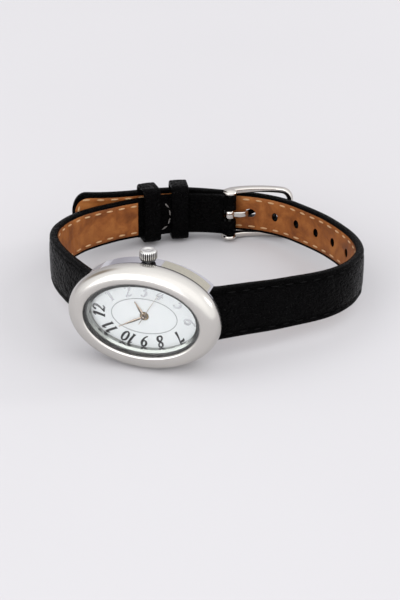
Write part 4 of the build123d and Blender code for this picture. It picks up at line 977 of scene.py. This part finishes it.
def sewLine(mesh, line, settings, phase=0.6):
    # Short thread capsules at an even pitch along a flat line
    out, radius = settings["out"], settings["radius"]
    travelled, wanted = 0.0, phase * settings["pitch"]
    for first, second in zip(line, line[1:]):
        step = hypot(second[0] - first[0], second[1] - first[1])
        while travelled + step >= wanted:
            share = (wanted - travelled) / step
            along = first[0] + (second[0] - first[0]) * share
            across = first[1] + (second[1] - first[1]) * share
            lean = atan2(second[1] - first[1], second[0] - first[0])
            lean += seamSettings["unevenLean"] * noise.noise(Vector((along * 1.7, across, out)))
            uneven = seamSettings["unevenDash"] * noise.noise(Vector((along * 2.3, out, 4.4)))
            dash = settings["dash"] * (1 + uneven)
            bmesh.ops.create_uvsphere(mesh, u_segments=8, v_segments=6, radius=1,
                                      matrix=Matrix.Translation((along, across, out))
                                      @ Matrix.Rotation(lean, 4, "Z")
                                      @ Matrix.Diagonal((dash / 2, radius, radius * seamSettings["flat"], 1))
                                      @ Matrix.Rotation(pi / 2, 4, "Y"))
            wanted += settings["pitch"]
        travelled += step


def makeSeam(name, kind):
    settings = {"pitch": seamSettings["pitch"], **seamSettings[kind]}
    tail = name == "six"
    end = routes["six"][1][-1] - seamSettings["tailShort"] if tail else settings["twelveEnd"]
    thread = bmesh.new()
    for line in seamLine(name, seamSettings["start"], end, settings["inset"], tail):
        sewLine(thread, line, settings)
    layOnLoop(thread, name)
    finishPiece("seam" + kind + name.capitalize(), thread, settings["finish"], "watch", (),
                80)


def makeTack(settings):
    mesh = bmesh.new()
    turns = [radians(turn) for turn in range(-settings["reach"], settings["reach"] + 1, settings["step"])]
    bow = [(settings["at"] + settings["deep"] * cos(turn), settings["wide"] * sin(turn)) for turn in turns]
    sewLine(mesh, bow, settings, settings["phase"])
    layOnLoop(mesh, "twelve")
    finishPiece("foldTack", mesh, "greyThread", "watch", (), 80)


for strapPiece in ("six", "twelve"):
    for seamKind in ("Inside", "Outside"):
        makeSeam(strapPiece, seamKind)
makeTack(seamSettings["tack"])
print("strap dressed")


# Leather loops round both strap pieces
loopSettings = {
    "gap": 2.05, "leather": 0.95, "clear": 0.2, "room": 0.9, "rise": 0.45, "wall": 1.0, "width": 4.0,
    "corner": 1.1, "cornerSteps": 8, "free": 55.7, "fixed": 62.5,
    # distance from the edge and share of half the wall, from the edge to the middle of each side
    "outerSide": ((0.02, -0.5), (0.0, 0.0), (0.06, 0.55), (0.24, 0.86), (0.55, 0.93), (0.8, 0.86),
                  (1.1, 0.97), (2.0, 1.0)),
    "innerSide": ((0.16, -0.92), (2.0, -0.96)),
}


def makeLoop(name, position, body, node):
    settings = loopSettings
    point, run = alongRoute(routes["twelve"], position)
    away = Vector((-run.y, run.x))
    deep = settings["gap"] + 2 * settings["leather"] + 2 * settings["clear"] + settings["wall"]
    wide = strapSettings["buckleWidth"] + 4 * settings["clear"] + settings["room"] + settings["wall"]
    centre = point + away * settings["gap"] / 2
    # the middle of the band, as (away, up, turn), and its section, as (along, out)
    ring = roundedRectangle(deep, wide, settings["corner"], settings["cornerSteps"])
    outer, inner = ([(settings["width"] / 2 - inset, settings["wall"] / 2 * share) for inset, share in
                     settings[side]] for side in ("outerSide", "innerSide"))
    band = outer + [(-along, out) for along, out in reversed(outer[:-1])]
    band += [(-along, out) for along, out in inner] + inner[-2::-1]

    def place(ringShare, bandShare):
        aside, up, turn = ring[round(ringShare * len(ring)) % len(ring)]
        along, out = band[round(bandShare * len(band)) % len(band)]
        across = centre + away * (aside + out * cos(turn)) + run * along
        return across.x, across.y, up + out * sin(turn) + settings["rise"]

    finishPiece(name, gridSheet(len(ring), len(band), place), "blackLoop", body, [node],
                45)


makeLoop("loopFree", loopSettings["free"], "free_keeper", "keeper_free")
makeLoop("loopFixed", loopSettings["fixed"], "watch", "keeper_fixed")

# Buckle: rounded rails with an end bar, round lobes at the pin, and the prong
buckleSettings = {
    "pin": (2.59, 54.29), "halfWidth": 6.0, "lobe": 1.55, "lobeHalf": 0.72,
    "rail": ((1.5, 53.48), (3.0, 55.56), (5.51, 57.19), (9.0, 58.49), (12.38, 59.07), (15.45, 58.87)),
    "railWidth": 1.2, "railThickness": 1.65, "railEdge": 0.55, "stoutAtPin": 1.28, "thinning": 0.48,
    "cornerRound": 1.9, "cornerSteps": 8,
    "prong": ((3.56, 54.64), (5.62, 55.39), (7.61, 58.81), (10.5, 59.97), (16.12, 60.23)),
    "prongWidth": 1.3, "prongThickness": 0.7, "prongEdge": 0.85, "pointFrom": 0.85, "pointing": 0.35,
    # loop of the prong round the pin
    "rootBore": 0.56, "rootRadius": 1.05, "rootWidth": 1.9,
}


def sweepTube(mesh, points, section):
    # Carry a section along points; each point is (place, width direction, thickness direction, scale)
    loops = []
    for place, widthWay, thickWay, scale in points:
        ring = [mesh.verts.new(place + widthWay * wide * scale[0] + thickWay * thick * scale[1])
                for wide, thick in section]
        loops.append([mesh.edges.new(pair) for pair in zip(ring, ring[1:] + ring[:1])])
    for first, second in zip(loops, loops[1:]):
        bmesh.ops.bridge_loops(mesh, edges=first + second)
    for loop in (loops[0], loops[-1]):
        bmesh.ops.holes_fill(mesh, edges=loop, sides=0)


def pathRun(path, index):
    return (path[min(index + 1, len(path) - 1)] - path[max(index - 1, 0)]).normalized()


def roundedSection(wide, thick, edge):
    corners = roundedRectangle(wide, thick, min(wide, thick) / 2 * edge, 4)
    return [corner[:2] for corner in corners]


def makeBuckle(settings):
    mesh = bmesh.new()
    path, lengths = smoothRoute(settings["rail"], 8)
    reach = settings["halfWidth"] - settings["railWidth"] / 2
    corner, steps = settings["cornerRound"], settings["cornerSteps"]
    half = []                                # one rail, as (place, width direction, thickness direction)
    for index, point in enumerate(path):
        if lengths[-1] - lengths[index] > corner:
            run = pathRun(path, index)
            half.append((Vector((point.x, point.y, reach)), Vector((0, 0, 1)), Vector((run.y, -run.x, 0))))
    cornerPoint, up, thickWay = half[-1]
    flatRun = Vector((run.x, run.y, 0))
    for turn in [pi / 2 * step / steps for step in range(1, steps + 1)]:      # round into the end bar
        place = cornerPoint + flatRun * corner * sin(turn) - up * corner * (1 - cos(turn))
        half.append((place, up * cos(turn) + flatRun * sin(turn), thickWay))
    points = []
    for index, (place, widthWay, thickWay) in enumerate(half):
        stout = settings["stoutAtPin"] - settings["thinning"] * index / (len(half) - 1)
        points.append((place, widthWay, thickWay, (1.0, stout)))
    mirror = Matrix.Diagonal((1, 1, -1))
    points += [(mirror @ place, mirror @ widthWay, thickWay, scale)
               for place, widthWay, thickWay, scale in reversed(points)]
    sweepTube(mesh, points, roundedSection(settings["railWidth"], settings["railThickness"],
                                           settings["railEdge"]))
    for side in (-1, 1):                     # round lobes that hold the pin
        size = (settings["lobe"], settings["lobe"], settings["lobeHalf"], 1)
        bmesh.ops.create_uvsphere(mesh, u_segments=32, v_segments=20, radius=1,
                                  matrix=Matrix.Translation((*settings["pin"], side * reach))
                                  @ Matrix.Diagonal(size))
    finishPiece("buckleBow", mesh, "buckleSteel", "buckle", ["buckle_frame"], 45)


def makeProng(settings):
    mesh = bmesh.new()
    path, lengths = smoothRoute(settings["prong"], 8)
    start = settings["pointFrom"]
    points = []
    for index, point in enumerate(path):
        run = pathRun(path, index)
        past = max(lengths[index] / lengths[-1] - start, 0) / (1 - start)
        scale = 1.0 - settings["pointing"] * past
        points.append((Vector((point.x, point.y, 0)), Vector((0, 0, 1)), Vector((run.y, -run.x, 0)),
                       (scale, scale)))
    sweepTube(mesh, points, roundedSection(settings["prongWidth"], settings["prongThickness"],
                                           settings["prongEdge"]))
    blade = set(mesh.verts)
    inner, outer, half = settings["rootBore"], settings["rootRadius"], settings["rootWidth"] / 2
    low = [(inner, 0.1 - half), (inner + 0.12, -half), (outer - 0.22, -half), (outer, 0.3 - half)]
    spinSection(mesh, low + [(reach, -level) for reach, level in reversed(low)], (0, 0, 1), 40)
    root = [vert for vert in mesh.verts if vert not in blade]
    bmesh.ops.translate(mesh, verts=root, vec=(*settings["pin"], 0))
    finishPiece("bucklePin", mesh, "buckleSteel", "prong", ["buckle_prong"], 45)


makeBuckle(buckleSettings)
makeProng(buckleSettings)
print("loops and buckle dressed")

# The solid pieces that stay get their own finishes
solidFinishes = {
    "bandSteel": ("case_body",),
    "crystalGlass": ("crystal",),
    "sealAndShadeBlack": ("crystal_gasket", "case_back_gasket", "crown_gasket"),
    "flangeGrey": ("dial_flange",),
    "dialWhite": ("dial_plate",),
    "dialPrint": ("dial_oval_line",),
    "numeralMetal": ("hour_numerals",),
    "lidSteel": ("case_back", "battery"),
    "holderPlastic": ("movement_holder",),
    "plateNickel": ("main_plate", "train_bridge", "quartz_can"),
    "magnetGrey": ("rotor",),
    "wheelBrass": ("fifth_wheel", "seconds_wheel", "third_wheel", "centre_wheel", "minute_wheel",
                   "hour_wheel"),
    "coilCopper": ("coil_winding",),
    "boardGreen": ("circuit_board",),
    "crownSteel": ("crown_tube",),
    "buckleSteel": ("buckle_bar",),
    "statorMetal": ("bridge_screw_left", "bridge_screw_right", "coil_core", "stator", "battery_strap",
                    "setting_stem", "clutch_pinion", "setting_lever", "spring_bar_12", "spring_bar_12_tip",
                    "spring_bar_6", "spring_bar_6_tip"),
}
for finish, members in solidFinishes.items():
    for solid in [nodes[node] for node in members]:
        if not solid.material_slots:
            solid.data.materials.append(finishes[finish])
        for materialSlot in solid.material_slots:
            materialSlot.material = finishes[finish]
finished = {node for members in solidFinishes.values() for node in members}
undressed = [name for name, solid in nodes.items() if name not in finished and not solid.hide_render]
print("solid pieces finished,", len(finished), "left bare:", undressed)

# Studio: a pale floor, an even sky with one soft dark corner, and soft lamps
studioSettings = {
    "floorColour": (0.575, 0.567, 0.584), "floorReach": 3.0, "floorRough": 0.85, "floorShine": 0.2,
    "skyTowards": (0.35, -0.55, 0.76), "skyStrength": 1.42,
    "sky": ((0.22, (0.36, 0.35, 0.37)), (0.62, (0.90, 0.90, 0.91)), (0.85, (0.99, 0.99, 1.0)),
            (0.97, (1.18, 1.18, 1.19))),
    "corner": (-0.80, 0.31, 0.51), "cornerColour": (0.24, 0.20, 0.16), "cornerEdge": (0.93, 0.99),
    "lampAim": (0, 0, 0.01),
    "lamps": (
        # name, place in metres, size, watts, colour
        ("windowLamp", (0.72, 0.36, 0.36), 0.10, 1.0, (1.0, 0.985, 0.965)),
        ("frontLamp", (-0.30, -0.80, 0.30), 0.60, 2.3, (0.98, 0.985, 1.0)),
    ),
}


def makeFloor(settings):
    mesh = bmesh.new()
    bmesh.ops.create_grid(mesh, x_segments=8, y_segments=8, size=settings["floorReach"])
    data = bpy.data.meshes.new("floor")
    mesh.to_mesh(data)
    mesh.free()
    pale = settings["floorColour"]
    tree, shader = startFinish("floorPaper", pale, 0.0, settings["floorRough"])
    tint = noiseOf(tree, millimetres(tree), 0.004, 3)
    paint(tree, shader, rampOf(tree, tint, ((0.35, tuple(part * 0.97 for part in pale)), (0.65, pale))))
    shader.inputs["Specular IOR Level"].default_value = settings["floorShine"]
    data.materials.append(finishes["floorPaper"])
    floor = bpy.data.objects.new("floor", data)
    scene.collection.objects.link(floor)


def hangLamps(settings):
    for name, place, size, watts, colour in settings["lamps"]:
        lamp = bpy.data.lights.new(name, "AREA")
        lamp.size = size
        lamp.energy = watts
        lamp.color = colour
        holder = bpy.data.objects.new(name, lamp)
        scene.collection.objects.link(holder)
        holder.location = place
        aim = Vector(settings["lampAim"]) - Vector(place)
        holder.rotation_euler = aim.to_track_quat("-Z", "Y").to_euler()


def paintSky(settings):
    world = bpy.data.worlds.new("paleSky")
    scene.world = world
    world.use_nodes = True
    tree = world.node_tree
    direction = addNode(tree, "ShaderNodeTexCoord").outputs["Generated"]
    nearness = []
    for aim in (settings["skyTowards"], settings["corner"]):
        made = addNode(tree, "ShaderNodeVectorMath", {"operation": "DOT_PRODUCT"})
        tree.links.new(direction, made.inputs[0])
        made.inputs[1].default_value = Vector(aim).normalized()
        nearness.append(made.outputs["Value"])
    facing = mathOf(tree, "ADD", mathOf(tree, "MULTIPLY", nearness[0], 0.5), 0.5)
    patch = rampOf(tree, nearness[1], tuple(zip(settings["cornerEdge"], (0.0, 1.0))))
    sky = tree.nodes["Background"].inputs
    sky["Strength"].default_value = settings["skyStrength"]
    tree.links.new(mixOf(tree, patch, rampOf(tree, facing, settings["sky"]), settings["cornerColour"]),
                   sky["Color"])


makeFloor(studioSettings)
hangLamps(studioSettings)
paintSky(studioSettings)
print("studio lit")
